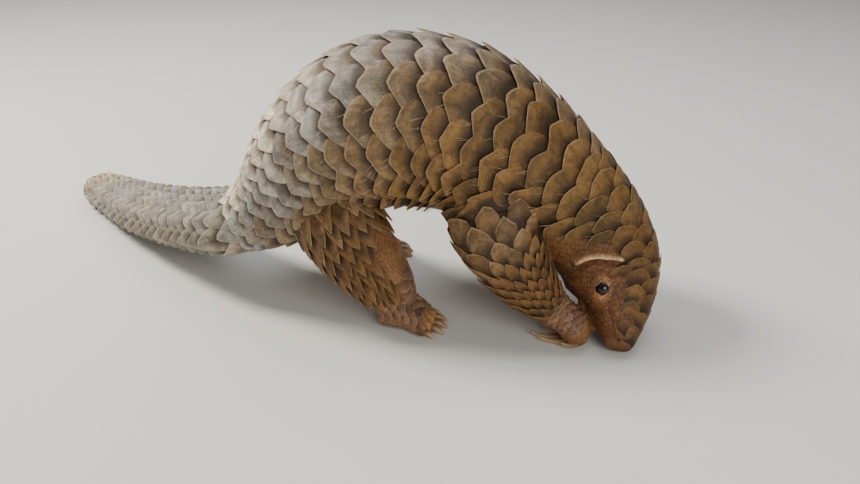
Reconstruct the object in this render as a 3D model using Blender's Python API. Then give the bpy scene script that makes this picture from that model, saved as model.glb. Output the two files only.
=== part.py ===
"""A life-size pangolin standing with its nose to the ground, as a still model in one body.

Metres, +Z up. The animal faces +X and its left side is +Y. Its feet, nose and tail rest on z = 0,
and the middle of its box stands over the origin. The solids reach out to the tips of the scales.
Tail, trunk and head are one loft along the spine, parted by thin cuts into the lengths a person
would name. Each leg is a loft down its joints, cut to sit against the trunk, with its claws apart.
"""

import math

import bmesh
import bpy
from mathutils import Vector

GAP = 0.0003  # left between pieces that touch
WELD = 0.00003  # corners nearer than this after a cut are one corner
CUT_REACH = 0.000001  # corners nearer than this to a cutting plane lie in it
SOLE_LEVEL = 0.0  # the floor that feet, nose and tail rest on

SIDES_BODY = 22
SIDES_LIMB = 14
SIDES_TOE = 6
SIDES_CLAW = 6
SIDES_EAR = 8
RINGS_BETWEEN = 2  # rings from one station to the next
BODY_FULLNESS = 2.2  # exponent of the ovals that the body is lofted through
LIMB_FULLNESS = 2.2
ROUND = 2.0  # the exponent of toes, claws and ears
SLOPE_STEP = 0.02  # stations looked at on either side to find the way an axis runs
TIP_FRACTION = 0.35  # how much of one dome step is left open for the last small ring

# Spine stations from tail tip to nose: place of the axis, half width, depth to the back, depth to the belly
SPINE = {
    "tail_tip": ((-0.425, 0.241, 0.0135), 0.017, 0.0140, 0.0140),
    "tail_fifth": ((-0.405, 0.221, 0.0178), 0.025, 0.0185, 0.0185),
    "tail_fourth": ((-0.371, 0.187, 0.0212), 0.030, 0.0215, 0.0215),
    "tail_third": ((-0.331, 0.147, 0.0280), 0.036, 0.0230, 0.0235),
    "tail_second": ((-0.288, 0.106, 0.0390), 0.040, 0.0240, 0.0245),
    "tail_first": ((-0.243, 0.066, 0.0530), 0.043, 0.0250, 0.0260),
    "tail_root": ((-0.196, 0.026, 0.071), 0.045, 0.027, 0.029),
    "tail_base": ((-0.173, 0.018, 0.083), 0.050, 0.036, 0.035),
    "rump": ((-0.139, 0.011, 0.105), 0.058, 0.053, 0.047),
    "loin": ((-0.093, 0.004, 0.151), 0.071, 0.072, 0.063),
    "mid_back": ((-0.042, 0.000, 0.176), 0.078, 0.083, 0.073),
    "chest": ((0.014, -0.002, 0.178), 0.078, 0.080, 0.076),
    "shoulder": ((0.066, -0.006, 0.154), 0.070, 0.074, 0.070),
    "neck_base": ((0.114, -0.016, 0.120), 0.057, 0.063, 0.058),
    "neck": ((0.148, -0.030, 0.091), 0.047, 0.054, 0.052),
    "ears": ((0.167, -0.045, 0.066), 0.039, 0.047, 0.049),
    "brow": ((0.172, -0.058, 0.049), 0.034, 0.041, 0.048),
    "eyes": ((0.173, -0.071, 0.036), 0.0275, 0.034, 0.037),
    "cheeks": ((0.172, -0.084, 0.025), 0.0215, 0.027, 0.0255),
    "muzzle": ((0.170, -0.097, 0.0165), 0.0165, 0.0200, 0.0195),
    "nose": ((0.168, -0.109, 0.0100), 0.0120, 0.0145, 0.0145),
}
STATION = {name: index for index, name in enumerate(SPINE)}
TAIL_CAP = 0.008  # how far the rounded tail tip stands beyond its station
NOSE_CAP = 0.005

# Where the body is parted, each at a share of the way from a named station to the next
BODY_PIECES = ("tail_4", "tail_3", "tail_2", "tail_1", "rump", "loin", "chest", "shoulders", "neck",
               "head", "snout")
BODY_CUTS = (("tail_fourth", 0.0), ("tail_third", 0.3), ("tail_second", 0.6), ("tail_first", 0.75),
             ("rump", 0.45), ("mid_back", 0.20), ("chest", 0.55), ("neck_base", 0.10), ("neck", 0.40),
             ("eyes", 0.85))

# Leg joints: place, half width across the leg, half depth along the stride
RIGHT_HIND = (
    ("hip", (-0.092, -0.030, 0.116), 0.034, 0.046),
    ("thigh", (-0.078, -0.044, 0.092), 0.032, 0.042),
    ("knee", (-0.058, -0.054, 0.066), 0.028, 0.036),
    ("shank", (-0.042, -0.059, 0.044), 0.024, 0.029),
    ("ankle", (-0.032, -0.059, 0.022), 0.020, 0.021),
)
LEFT_HIND = (
    ("hip", (-0.096, 0.040, 0.116), 0.034, 0.046),
    ("thigh", (-0.092, 0.056, 0.090), 0.032, 0.042),
    ("knee", (-0.084, 0.068, 0.064), 0.028, 0.036),
    ("shank", (-0.075, 0.077, 0.044), 0.024, 0.029),
    ("ankle", (-0.068, 0.082, 0.022), 0.020, 0.021),
)
RIGHT_FORE = (
    ("shoulder", (0.052, -0.040, 0.122), 0.034, 0.044),
    ("upper_arm", (0.060, -0.058, 0.098), 0.033, 0.041),
    ("elbow", (0.074, -0.070, 0.074), 0.029, 0.034),
    ("forearm", (0.092, -0.078, 0.052), 0.025, 0.026),
    ("wrist", (0.110, -0.083, 0.034), 0.021, 0.0185),
    ("palm", (0.122, -0.086, 0.0255), 0.021, 0.0145),
    ("knuckles", (0.133, -0.0885, 0.0142), 0.0205, 0.0155),
    ("knuckle_end", (0.1405, -0.090, 0.0098), 0.0175, 0.0120),
)
LEFT_FORE = (
    ("shoulder", (0.056, 0.030, 0.120), 0.034, 0.044),
    ("upper_arm", (0.070, 0.046, 0.098), 0.033, 0.041),
    ("elbow", (0.086, 0.056, 0.074), 0.029, 0.034),
    ("forearm", (0.102, 0.060, 0.052), 0.025, 0.026),
    ("wrist", (0.118, 0.061, 0.034), 0.021, 0.0185),
    ("palm", (0.130, 0.062, 0.0255), 0.021, 0.0145),
    ("knuckles", (0.141, 0.063, 0.0142), 0.0205, 0.0155),
    ("knuckle_end", (0.1485, 0.0635, 0.0098), 0.0175, 0.0120),
)
LEG_CUTS = (2.1, 3.65)  # where upper leg, lower leg and foot part, in joints from the hip or shoulder
KNUCKLE_CAP = 0.005

# Hind foot, in its own frame: forward of the ankle, height, half width, half depth
HIND_FOOT = (
    ("heel", -0.014, 0.0160, 0.0150, 0.0165),
    ("arch", 0.002, 0.0175, 0.0190, 0.0180),
    ("ball", 0.018, 0.0145, 0.0215, 0.0150),
    ("toe_line", 0.028, 0.0105, 0.0195, 0.0110),
)
FOOT_CAP = 0.004
FOOT_CAP_STEPS = 2
FOOT_HEADING = math.radians(9)  # the hind feet point outwards by this

TOES = 5
TOE_SPREAD = 0.0080  # between the middles of neighbouring toes
TOE_SPLAY = math.radians(7)  # a toe's turn from its neighbour
TOE_RADIUS = 0.0052
TOE_CLEARANCE = 0.0012  # between the underside of a toe and the floor
TOE_REACH = (0.72, 0.95, 1.0, 0.95, 0.72)  # of the longest toe, from one side of the foot to the other
TOE_SHAPE = ((0.0, 1.0), (0.72, 1.0), (1.0, 0.76))  # share of its length, share of its radius
HIND_TOE_START = 0.018
HIND_TOE_LENGTH = 0.0200

HIND_CLAW_LENGTH = 0.0150
HIND_CLAW_DIPS = (0.0, math.radians(52))  # below level at its root and its tip
FORE_CLAW_LENGTHS = (0.016, 0.038, 0.046, 0.036, 0.015)
FORE_CLAW_DIPS = (math.radians(34), math.radians(-24))  # curled back under the foot, the tip rising again
FORE_CLAW_SPREAD = 0.0078
FORE_CLAW_RISE = 0.0058  # how high a fore claw's root stands over the floor, beyond its half width
PALM_STATION = 5.0
FORE_CLAW_STATION = 6.35  # where the fore claws start, in joints from the shoulder
CLAW_WIDTHS = (0.0026, 0.0034, 0.0037, 0.0034, 0.0026)  # half widths at the root
CLAW_HEIGHT_SHARE = 0.92  # of the half width
CLAW_TIP = 0.18  # of the root's size
CLAW_TAPER = 1.6  # the exponent by which a claw thins, more and more towards its tip
CLAW_STEPS = 5

EYE_PLACE = ("eyes", -0.06, math.radians(142))  # station, share towards the next, turn about the axis
EYE_RADIUS = 0.0075
EYE_PROUD = 0.0027
EYE_SPLITS = 2  # times the ball's faces are split in four

# The ear is a curved rim of skin: stations from "ears", turn about the axis, height, half thickness
EAR_RIM = (
    ("lobe", -0.34, math.radians(143), 0.0020, 0.0016),
    ("rear", -0.34, math.radians(157), 0.0042, 0.0021),
    ("crest", -0.20, math.radians(171), 0.0052, 0.0023),
    ("front", 0.12, math.radians(183), 0.0048, 0.0022),
    ("knob", 0.36, math.radians(189), 0.0050, 0.0028),
    ("end", 0.48, math.radians(191), 0.0020, 0.0016),
)
EAR_SUNK = 0.0015
EAR_STEPS = 2


def clear_scene():
    for item in list(bpy.data.objects):
        bpy.data.objects.remove(item, do_unlink=True)


def principled(name, colour, roughness):
    made = bpy.data.materials.new(name)
    made.use_nodes = True
    shader = made.node_tree.nodes["Principled BSDF"]
    shader.inputs["Base Color"].default_value = (*colour, 1.0)
    shader.inputs["Roughness"].default_value = roughness
    shader.inputs["Metallic"].default_value = 0.0
    return made


def catmull(values, t):
    """A value on the smooth curve through values, t in stations from the first."""
    last = len(values) - 1
    i = min(int(t), last - 1)
    f = t - i
    p0, p1, p2, p3 = (values[min(max(i + k, 0), last)] for k in (-1, 0, 1, 2))
    return (p1 * 2 + (p2 - p0) * f + (p0 * 2 - p1 * 5 + p2 * 4 - p3) * f**2
            + (p1 * 3 - p0 - p2 * 3 + p3) * f**3) * 0.5


class Spine:
    """An axis with its own width and depths, read at any station from its first to its last."""

    def __init__(self, stations):
        self.count = len(stations)
        self.places = [Vector(s[0]) for s in stations]
        self.sizes = [[s[k] for s in stations] for k in range(1, len(stations[0]))]

    def place(self, t):
        return catmull(self.places, t)

    def size(self, t):
        return [catmull(column, t) for column in self.sizes]

    def along(self, t):
        high = min(t + SLOPE_STEP, self.count - 1.0)
        low = max(t - SLOPE_STEP, 0.0)
        return (self.place(high) - self.place(low)).normalized()

    def frame(self, t):
        """The way forward, the way to the animal's left and the way to its back."""
        along = self.along(t)
        upright = Vector((-along.z, 0.0, along.x))
        left = upright.cross(along).normalized()
        return along, left, along.cross(left).normalized()


def oval(centre, across, up, half_width, over, under, sides, fullness):
    """A ring of points: a superellipse that is deeper over or under its centre."""
    ring = []
    for k in range(sides):
        angle = 2 * math.pi * k / sides
        c, s = math.cos(angle), math.sin(angle)
        x = math.copysign(abs(c) ** (2 / fullness), c) * half_width
        z = math.copysign(abs(s) ** (2 / fullness), s) * (over if s > 0 else under)
        ring.append(centre + across * x + up * z)
    return ring


def dome(ring, centre, outward, reach, steps=3):
    """The rings that close an open end, standing out by reach, the smallest one last."""
    rings = []
    for k in range(1, steps + 1):
        angle = math.pi / 2 * k / (steps + TIP_FRACTION)
        shrink, step = math.cos(angle), outward * reach * math.sin(angle)
        rings.append([centre + (p - centre) * shrink + step for p in ring])
    return rings


def loft(name, rings, material):
    """A closed body through rings of the same number of points, capped at both ends."""
    bm = bmesh.new()
    loops = [[bm.verts.new(p) for p in ring] for ring in rings]
    sides = len(loops[0])
    for low, high in zip(loops, loops[1:]):
        for k in range(sides):
            after = (k + 1) % sides
            bm.faces.new((low[k], low[after], high[after], high[k]))
    for loop in (loops[0], loops[-1]):
        cap = bm.faces.new(loop)
        bmesh.ops.poke(bm, faces=[cap])
    bmesh.ops.triangulate(bm, faces=bm.faces)
    bmesh.ops.recalc_face_normals(bm, faces=bm.faces)
    mesh = bpy.data.meshes.new(name)
    bm.to_mesh(mesh)
    bm.free()
    mesh.materials.append(material)
    made = bpy.data.objects.new(name, mesh)
    bpy.context.scene.collection.objects.link(made)
    return made


def discard(item):
    bpy.data.objects.remove(item, do_unlink=True)


def copy_of(item, name):
    made = item.copy()
    made.data = item.data.copy()
    made.name = name
    made.data.name = name
    bpy.context.scene.collection.objects.link(made)
    return made


def combine(target, other, operation):
    """Joins a body to the target, or cuts it away, for good."""
    step = target.modifiers.new("combine", "BOOLEAN")
    step.operation = operation
    step.solver = "EXACT"
    step.object = other
    graph = bpy.context.evaluated_depsgraph_get()
    shaped = bpy.data.meshes.new_from_object(target.evaluated_get(graph))
    target.modifiers.clear()
    bm = bmesh.new()
    bm.from_mesh(shaped)
    bmesh.ops.remove_doubles(bm, verts=bm.verts, dist=WELD)
    bmesh.ops.dissolve_degenerate(bm, edges=bm.edges, dist=WELD)
    bmesh.ops.triangulate(bm, faces=bm.faces)
    bm.to_mesh(shaped)
    bm.free()
    target.data = shaped
    shaped.name = target.name


def slice_off(item, point, normal):
    """Removes what lies beyond a plane, on its normal's side, and closes the cut."""
    bm = bmesh.new()
    bm.from_mesh(item.data)
    everything = list(bm.verts) + list(bm.edges) + list(bm.faces)
    cut = bmesh.ops.bisect_plane(bm, geom=everything, dist=CUT_REACH, plane_co=point, plane_no=normal,
                                 clear_outer=True)
    rim = [e for e in cut["geom_cut"] if isinstance(e, bmesh.types.BMEdge)]
    if rim:
        bmesh.ops.holes_fill(bm, edges=rim, sides=0)
    bmesh.ops.triangulate(bm, faces=[f for f in bm.faces if len(f.verts) > 4])
    bmesh.ops.recalc_face_normals(bm, faces=bm.faces)
    bm.to_mesh(item.data)
    bm.free()


def part_along(whole, spine, cuts, names):
    """Cuts a body across its spine into named lengths, a gap apart, first name at the first station."""
    pieces = []
    for index, name in enumerate(names):
        piece = copy_of(whole, name)
        if index > 0:
            along = spine.along(cuts[index - 1])
            slice_off(piece, spine.place(cuts[index - 1]) + along * GAP / 2, -along)
        if index < len(names) - 1:
            along = spine.along(cuts[index])
            slice_off(piece, spine.place(cuts[index]) - along * GAP / 2, along)
        pieces.append(piece)
    discard(whole)
    return pieces


def fattened(item):
    """A copy of a body pushed out by the gap along its own normals, to cut its neighbours with."""
    made = copy_of(item, item.name + "_cutter")
    shape = made.data
    normals = [v.normal.copy() for v in shape.vertices]
    for vertex, normal in zip(shape.vertices, normals):
        vertex.co += normal * GAP
    made.hide_render = True
    made.display_type = "WIRE"
    return made


def rest_on_floor(item):
    slice_off(item, Vector((0.0, 0.0, SOLE_LEVEL)), Vector((0.0, 0.0, -1.0)))


def skin_point(spine, t, turn, side):
    """A point of the body's surface and its outward normal. The turn is a quarter at the belly, a half
    at the middle of the side asked for (-1 right, 1 left) and three quarters at the back."""
    along, left, back = spine.frame(t)
    half_width, over, under = spine.size(t)
    x = -math.cos(turn) * side
    z = -math.sin(turn)
    depth = over if z > 0 else under
    n = BODY_FULLNESS
    radius = (abs(x / half_width) ** n + abs(z / depth) ** n) ** (-1 / n)
    slope_x = math.copysign(abs(x * radius / half_width) ** (n - 1) / half_width, x)
    slope_z = math.copysign(abs(z * radius / depth) ** (n - 1) / depth, z)
    place = spine.place(t) + (left * x + back * z) * radius
    return place, (left * slope_x + back * slope_z).normalized()


def build_body(spine, material):
    """Tail, trunk and head in one loft."""
    rings = []
    for k in range((spine.count - 1) * RINGS_BETWEEN + 1):
        t = k / RINGS_BETWEEN
        _, left, back = spine.frame(t)
        rings.append(oval(spine.place(t), left, back, *spine.size(t), SIDES_BODY, BODY_FULLNESS))
    end = spine.count - 1
    tail_dome = dome(rings[0], spine.place(0), -spine.along(0), TAIL_CAP)
    nose_dome = dome(rings[-1], spine.place(end), spine.along(end), NOSE_CAP)
    return loft("body", tail_dome[::-1] + rings + nose_dome, material)


def leg_spine(joints):
    return Spine([(place, wide, deep) for _, place, wide, deep in joints])


def build_leg(name, joints, material):
    """A loft down the joints of one leg, with a rounded end."""
    spine = leg_spine(joints)
    rings = []
    for k in range((spine.count - 1) * RINGS_BETWEEN + 1):
        t = k / RINGS_BETWEEN
        along = spine.along(t)
        across = Vector((0.0, 1.0, 0.0))
        across = (across - along * across.dot(along)).normalized()
        front = across.cross(along)
        half_width, deep = spine.size(t)
        rings.append(oval(spine.place(t), across, front, half_width, deep, deep, SIDES_LIMB, LIMB_FULLNESS))
    end = spine.count - 1
    rings += dome(rings[-1], spine.place(end), spine.along(end), KNUCKLE_CAP)
    return loft(name, rings, material)


def heading_frame(ankle, heading):
    """The floor point under an ankle, and the foot's way forward and to its left."""
    forward = Vector((math.cos(heading), math.sin(heading), 0.0))
    return Vector((ankle.x, ankle.y, 0.0)), forward, Vector((-forward.y, forward.x, 0.0))


def build_hind_foot(name, ankle, heading, material):
    """Sole and five short toes in one body."""
    floor, forward, across = heading_frame(ankle, heading)
    upward = Vector((0.0, 0.0, 1.0))
    stations = [(floor + forward * ahead + upward * height, wide, deep)
                for _, ahead, height, wide, deep in HIND_FOOT]
    spine = Spine(stations)
    rings = []
    for t in range(spine.count):
        wide, deep = spine.size(t)
        rings.append(oval(spine.place(t), across, upward, wide, deep, deep, SIDES_LIMB, LIMB_FULLNESS))
    back_dome = dome(rings[0], spine.place(0), -forward, FOOT_CAP, FOOT_CAP_STEPS)
    front_dome = dome(rings[-1], spine.place(spine.count - 1), forward, FOOT_CAP, FOOT_CAP_STEPS)
    foot = loft(name, back_dome[::-1] + rings + front_dome, material)
    for index in range(TOES):
        root, way = hind_toe(floor, forward, across, index)
        length = HIND_TOE_LENGTH * TOE_REACH[index]
        flank = upward.cross(way).normalized()
        rings = []
        for share, size in TOE_SHAPE:
            place = root + way * length * share
            radius = TOE_RADIUS * size
            rings.append(oval(place, flank, upward, radius, radius, radius, SIDES_TOE, ROUND))
        toe = loft("toe", rings, material)
        combine(foot, toe, "UNION")
        discard(toe)
    return foot


def hind_toe(floor, forward, across, index):
    """Where a hind toe starts inside the foot, and the level way it points."""
    place = index - (TOES - 1) / 2
    turn = place * TOE_SPLAY
    way = forward * math.cos(turn) + across * math.sin(turn)
    root = floor + forward * HIND_TOE_START + across * place * TOE_SPREAD
    return root + Vector((0.0, 0.0, TOE_RADIUS + TOE_CLEARANCE)), way


def build_claw(name, root, way, dips, length, half_width, material):
    """A claw on an arc. It leaves its root along a level way, dipped, and the dip changes to its tip."""
    rings = []
    upward = Vector((0.0, 0.0, 1.0))
    flank = upward.cross(way).normalized()
    place = root.copy()
    for k in range(CLAW_STEPS + 1):
        share = k / CLAW_STEPS
        dip = dips[0] + (dips[1] - dips[0]) * share
        aim = way * math.cos(dip) - upward * math.sin(dip)
        size = half_width * (CLAW_TIP + (1 - CLAW_TIP) * (1 - share**CLAW_TAPER))
        lift = flank.cross(aim).normalized()
        high = size * CLAW_HEIGHT_SHARE
        rings.append(oval(place, flank, lift, size, high, high, SIDES_CLAW, ROUND))
        place = place + aim * (length / CLAW_STEPS)
    return loft(name, rings, material)


def hind_claws(side, ankle, heading, material):
    """Short blunt claws, each standing a gap off the flat end of its toe."""
    floor, forward, across = heading_frame(ankle, heading)
    claws = []
    for index in range(TOES):
        root, way = hind_toe(floor, forward, across, index)
        start = root + way * (HIND_TOE_LENGTH * TOE_REACH[index] + GAP)
        claw = build_claw(f"{side}_hind_claw_{index + 1}", start, way, HIND_CLAW_DIPS,
                          HIND_CLAW_LENGTH * TOE_REACH[index], CLAW_WIDTHS[index], material)
        rest_on_floor(claw)
        claws.append(claw)
    return claws


def fore_claws(side, foot, joints, material):
    """Claws curled back under the knuckles, their outer curve on the floor."""
    spine = leg_spine(joints)
    palm = spine.place(PALM_STATION)
    knuckle = spine.place(FORE_CLAW_STATION)
    way = Vector((palm.x - knuckle.x, palm.y - knuckle.y, 0.0)).normalized()
    across = Vector((way.y, -way.x, 0.0))
    claws = []
    for index in range(TOES):
        place = index - (TOES - 1) / 2
        start = Vector((knuckle.x, knuckle.y, 0.0)) + across * place * FORE_CLAW_SPREAD
        start.z = CLAW_WIDTHS[index] + FORE_CLAW_RISE
        claws.append(build_claw(f"{side}_fore_claw_{index + 1}", start, way, FORE_CLAW_DIPS,
                                FORE_CLAW_LENGTHS[index], CLAW_WIDTHS[index], material))
    cutter = fattened(foot)
    for claw in claws:
        combine(claw, cutter, "DIFFERENCE")
        rest_on_floor(claw)
    discard(cutter)
    return claws


def build_eye(spine, side_name, side, material):
    """The eyeball, and a slightly larger ball that cuts its socket."""
    station, share, turn = EYE_PLACE
    surface, normal = skin_point(spine, STATION[station] + share, turn, side)
    centre = surface - normal * (EYE_RADIUS - EYE_PROUD)
    made = []
    for name, radius in ((f"{side_name}_eye", EYE_RADIUS), (f"{side_name}_socket", EYE_RADIUS + GAP)):
        bm = bmesh.new()
        bmesh.ops.create_icosphere(bm, subdivisions=EYE_SPLITS, radius=radius)
        mesh = bpy.data.meshes.new(name)
        bm.to_mesh(mesh)
        bm.free()
        mesh.materials.append(material)
        ball = bpy.data.objects.new(name, mesh)
        ball.location = centre
        bpy.context.scene.collection.objects.link(ball)
        made.append(ball)
    return made


def build_ear(spine, side_name, side, material):
    """A low curved rim with a small knob at its front end, standing on the side of the head."""
    shares = [Vector(values[1:]) for values in EAR_RIM]
    rows = []
    steps = (len(EAR_RIM) - 1) * EAR_STEPS
    for k in range(steps + 1):
        stations, turn, height, thick = catmull(shares, k / EAR_STEPS)
        place, normal = skin_point(spine, STATION["ears"] + stations, turn, side)
        rows.append((place, normal, height, thick))
    rings = []
    for k, (place, normal, height, thick) in enumerate(rows):
        ahead = rows[min(k + 1, steps)][0] - rows[max(k - 1, 0)][0]
        flank = ahead.cross(normal).normalized()
        rings.append(oval(place, flank, normal, thick, height, EAR_SUNK, SIDES_EAR, ROUND))
    return loft(f"{side_name}_ear", rings, material)


def centre_over_origin(items):
    """Moves the whole animal so that the middle of its box stands over the origin."""
    corners = [item.matrix_world @ v.co for item in items for v in item.data.vertices]
    low = Vector([min(c[k] for c in corners) for k in range(3)])
    high = Vector([max(c[k] for c in corners) for k in range(3)])
    shift = Vector((-(low.x + high.x) / 2, -(low.y + high.y) / 2, -low.z))
    for item in items:
        item.location += shift


def main():
    clear_scene()
    back_hide = principled("back_scales", (0.20, 0.145, 0.09), 0.55)
    tail_hide = principled("tail_scales", (0.24, 0.20, 0.15), 0.6)
    leg_hide = principled("leg_scales", (0.26, 0.16, 0.08), 0.6)
    foot_hide = principled("foot_plates", (0.30, 0.16, 0.09), 0.5)
    face_hide = principled("face_skin", (0.31, 0.17, 0.08), 0.7)
    ear_skin = principled("ear_rim", (0.55, 0.36, 0.22), 0.65)
    claw_horn = principled("claw_horn", (0.36, 0.20, 0.09), 0.4)
    eye_black = principled("eye_gloss", (0.01, 0.008, 0.007), 0.05)

    spine = Spine(list(SPINE.values()))
    body = build_body(spine, back_hide)
    trunk_cutter = fattened(body)

    eyes = []
    ears = []
    for side_name, side in (("right", -1), ("left", 1)):
        eye, socket = build_eye(spine, side_name, side, eye_black)
        bpy.context.view_layer.update()
        combine(body, socket, "DIFFERENCE")
        discard(socket)
        eyes.append(eye)
        ear = build_ear(spine, side_name, side, ear_skin)
        combine(ear, trunk_cutter, "DIFFERENCE")
        ears.append(ear)

    kept = eyes + ears
    legs = (("right", "hind", RIGHT_HIND, -FOOT_HEADING), ("left", "hind", LEFT_HIND, FOOT_HEADING),
            ("right", "fore", RIGHT_FORE, 0.0), ("left", "fore", LEFT_FORE, 0.0))
    for side, end, joints, heading in legs:
        leg = build_leg(f"{side}_{end}_leg", joints, leg_hide)
        if end == "hind":
            ankle = Vector(joints[-1][1])
            foot = build_hind_foot(f"{side}_hind_sole", ankle, heading, leg_hide)
            combine(leg, foot, "UNION")
            discard(foot)
            names = (f"{side}_thigh", f"{side}_shank", f"{side}_hind_foot")
        else:
            names = (f"{side}_upper_arm", f"{side}_forearm", f"{side}_fore_foot")
        combine(leg, trunk_cutter, "DIFFERENCE")
        rest_on_floor(leg)
        pieces = part_along(leg, leg_spine(joints), LEG_CUTS, names)
        pieces[-1].data.materials.clear()
        pieces[-1].data.materials.append(foot_hide)
        if end == "hind":
            claws = hind_claws(side, ankle, heading, claw_horn)
        else:
            claws = fore_claws(side, pieces[-1], joints, claw_horn)
        kept += pieces + claws
    discard(trunk_cutter)

    rest_on_floor(body)
    cuts = [STATION[name] + share for name, share in BODY_CUTS]
    lengths = part_along(body, spine, cuts, BODY_PIECES)
    for piece in lengths:
        look = None
        if piece.name.startswith("tail"):
            look = tail_hide
        elif piece.name == "snout":
            look = face_hide
        if look:
            piece.data.materials.clear()
            piece.data.materials.append(look)
    kept += lengths
    bpy.context.view_layer.update()
    centre_over_origin(kept)
    for item in kept:
        item.data.shade_smooth()


main()
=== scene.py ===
"""The looks of a pangolin with its nose to the ground.

One skin, with overlapping horn scales, bristles, claws and eyes over it. Lengths are metres. The tables are
in working coordinates, and SHIFT takes them to the frame's.
"""

import math

import bmesh
import bpy
import numpy as np
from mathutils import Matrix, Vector
from mathutils.bvhtree import BVHTree


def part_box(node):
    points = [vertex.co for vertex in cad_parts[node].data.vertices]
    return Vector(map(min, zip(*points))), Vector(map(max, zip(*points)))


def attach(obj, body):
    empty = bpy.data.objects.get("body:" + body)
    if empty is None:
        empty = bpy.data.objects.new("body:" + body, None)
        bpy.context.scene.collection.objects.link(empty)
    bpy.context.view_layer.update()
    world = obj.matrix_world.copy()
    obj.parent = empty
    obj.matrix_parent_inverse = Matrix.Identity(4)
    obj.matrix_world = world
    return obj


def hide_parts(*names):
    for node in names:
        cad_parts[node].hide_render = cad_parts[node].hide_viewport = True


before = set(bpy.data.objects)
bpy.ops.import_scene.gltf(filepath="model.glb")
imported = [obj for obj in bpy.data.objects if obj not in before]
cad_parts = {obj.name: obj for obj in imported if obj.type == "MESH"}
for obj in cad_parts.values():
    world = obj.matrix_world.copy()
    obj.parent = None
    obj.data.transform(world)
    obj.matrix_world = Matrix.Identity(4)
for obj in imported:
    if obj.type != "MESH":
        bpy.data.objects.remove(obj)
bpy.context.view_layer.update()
chance = np.random.default_rng(41)

# The spine from tail tip to nose: place, half width, depth to the back, depth to the belly
SPINE = (
    (-0.425, 0.241, 0.0135, 0.017, 0.0140, 0.0140),
    (-0.405, 0.221, 0.0178, 0.025, 0.0185, 0.0185),
    (-0.371, 0.187, 0.0212, 0.030, 0.0215, 0.0215),
    (-0.331, 0.147, 0.0280, 0.036, 0.0230, 0.0235),
    (-0.288, 0.106, 0.0390, 0.040, 0.0240, 0.0245),
    (-0.243, 0.066, 0.0530, 0.043, 0.0250, 0.0260),
    (-0.196, 0.026, 0.0710, 0.045, 0.0270, 0.0290),
    (-0.173, 0.018, 0.0830, 0.050, 0.0360, 0.0350),
    (-0.139, 0.011, 0.1050, 0.058, 0.0530, 0.0470),
    (-0.093, 0.004, 0.1510, 0.071, 0.0720, 0.0630),
    (-0.042, 0.000, 0.1760, 0.078, 0.0830, 0.0730),
    (0.014, -0.002, 0.1780, 0.078, 0.0800, 0.0760),
    (0.066, -0.006, 0.1540, 0.070, 0.0740, 0.0700),
    (0.114, -0.016, 0.1200, 0.057, 0.0630, 0.0580),
    (0.148, -0.030, 0.0910, 0.047, 0.0540, 0.0520),
    (0.167, -0.045, 0.0660, 0.039, 0.0470, 0.0490),
    (0.172, -0.058, 0.0490, 0.034, 0.0410, 0.0480),
    (0.173, -0.071, 0.0360, 0.0275, 0.0340, 0.0370),
    (0.172, -0.084, 0.0250, 0.0215, 0.0270, 0.0255),
    (0.170, -0.097, 0.0165, 0.0165, 0.0200, 0.0195),
    (0.168, -0.109, 0.0100, 0.0120, 0.0145, 0.0145),
)
NOSE_CAP = 0.005  # how far the rounded ends of the body stand beyond the last stations
FULLNESS = 2.2  # exponent of the ovals that the body and legs are made of

# Leg joints from the body down: place, half width across, half depth along the stride
HIND_SIZES = ((0.034, 0.046), (0.032, 0.042), (0.028, 0.036), (0.024, 0.029), (0.020, 0.021))
RIGHT_HIND = ((-0.092, -0.030, 0.116), (-0.078, -0.044, 0.092), (-0.058, -0.054, 0.066),
              (-0.042, -0.059, 0.044), (-0.032, -0.059, 0.022))
LEFT_HIND = ((-0.096, 0.040, 0.116), (-0.092, 0.056, 0.090), (-0.084, 0.068, 0.064),
             (-0.075, 0.077, 0.044), (-0.068, 0.082, 0.022))
FORE_SIZES = ((0.034, 0.044), (0.033, 0.041), (0.029, 0.034), (0.025, 0.026), (0.021, 0.0185),
              (0.021, 0.0145), (0.0205, 0.0155), (0.0175, 0.0120))
RIGHT_FORE = ((0.052, -0.040, 0.122), (0.060, -0.058, 0.098), (0.074, -0.070, 0.074), (0.092, -0.078, 0.052),
              (0.110, -0.083, 0.034), (0.122, -0.086, 0.0255), (0.133, -0.0885, 0.0142),
              (0.1405, -0.090, 0.0098))
LEFT_FORE = ((0.056, 0.030, 0.120), (0.070, 0.046, 0.098), (0.086, 0.056, 0.074), (0.102, 0.060, 0.052),
             (0.118, 0.061, 0.034), (0.130, 0.062, 0.0255), (0.141, 0.063, 0.0142),
             (0.1485, 0.0635, 0.0098))
KNUCKLE_CAP = 0.005

# Hind foot from heel to toe line: ahead of the ankle, height, half width, half depth
HIND_FOOT = ((-0.014, 0.0160, 0.0150, 0.0165), (0.002, 0.0175, 0.0190, 0.0180),
             (0.018, 0.0145, 0.0215, 0.0150), (0.028, 0.0105, 0.0195, 0.0110))
FOOT_CAP = 0.004
FOOT_HEADING = math.radians(9)  # the hind feet point outwards by this
TOES = 5
TOE_SPREAD = 0.0080
TOE_SPLAY = math.radians(7)
TOE_REACH = (0.72, 0.95, 1.0, 0.95, 0.72)  # of the longest toe
TOE_START = 0.018
TOE_LENGTH = 0.0200
TOE_RADIUS = 0.0052
TOE_RISE = 0.0064
TOE_SHAPE = ((0, 0.9), (0.45, 0.92), (0.7, 1.08), (0.86, 1.06), (0.98, 0.84))  # share of length, of radius

EYE_AT = (16.94, math.radians(142))  # station, turn under the belly and up the side
EYE_RADIUS = 0.0075
EYE_PROUD = 0.0027
EYE_CENTRE = (0.15537, -0.08397, 0.05159)  # of the right eye
CAMERA_PLACE = (0.0, -0.704, 0.416)
CAMERA_DOWN = math.radians(27)
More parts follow.
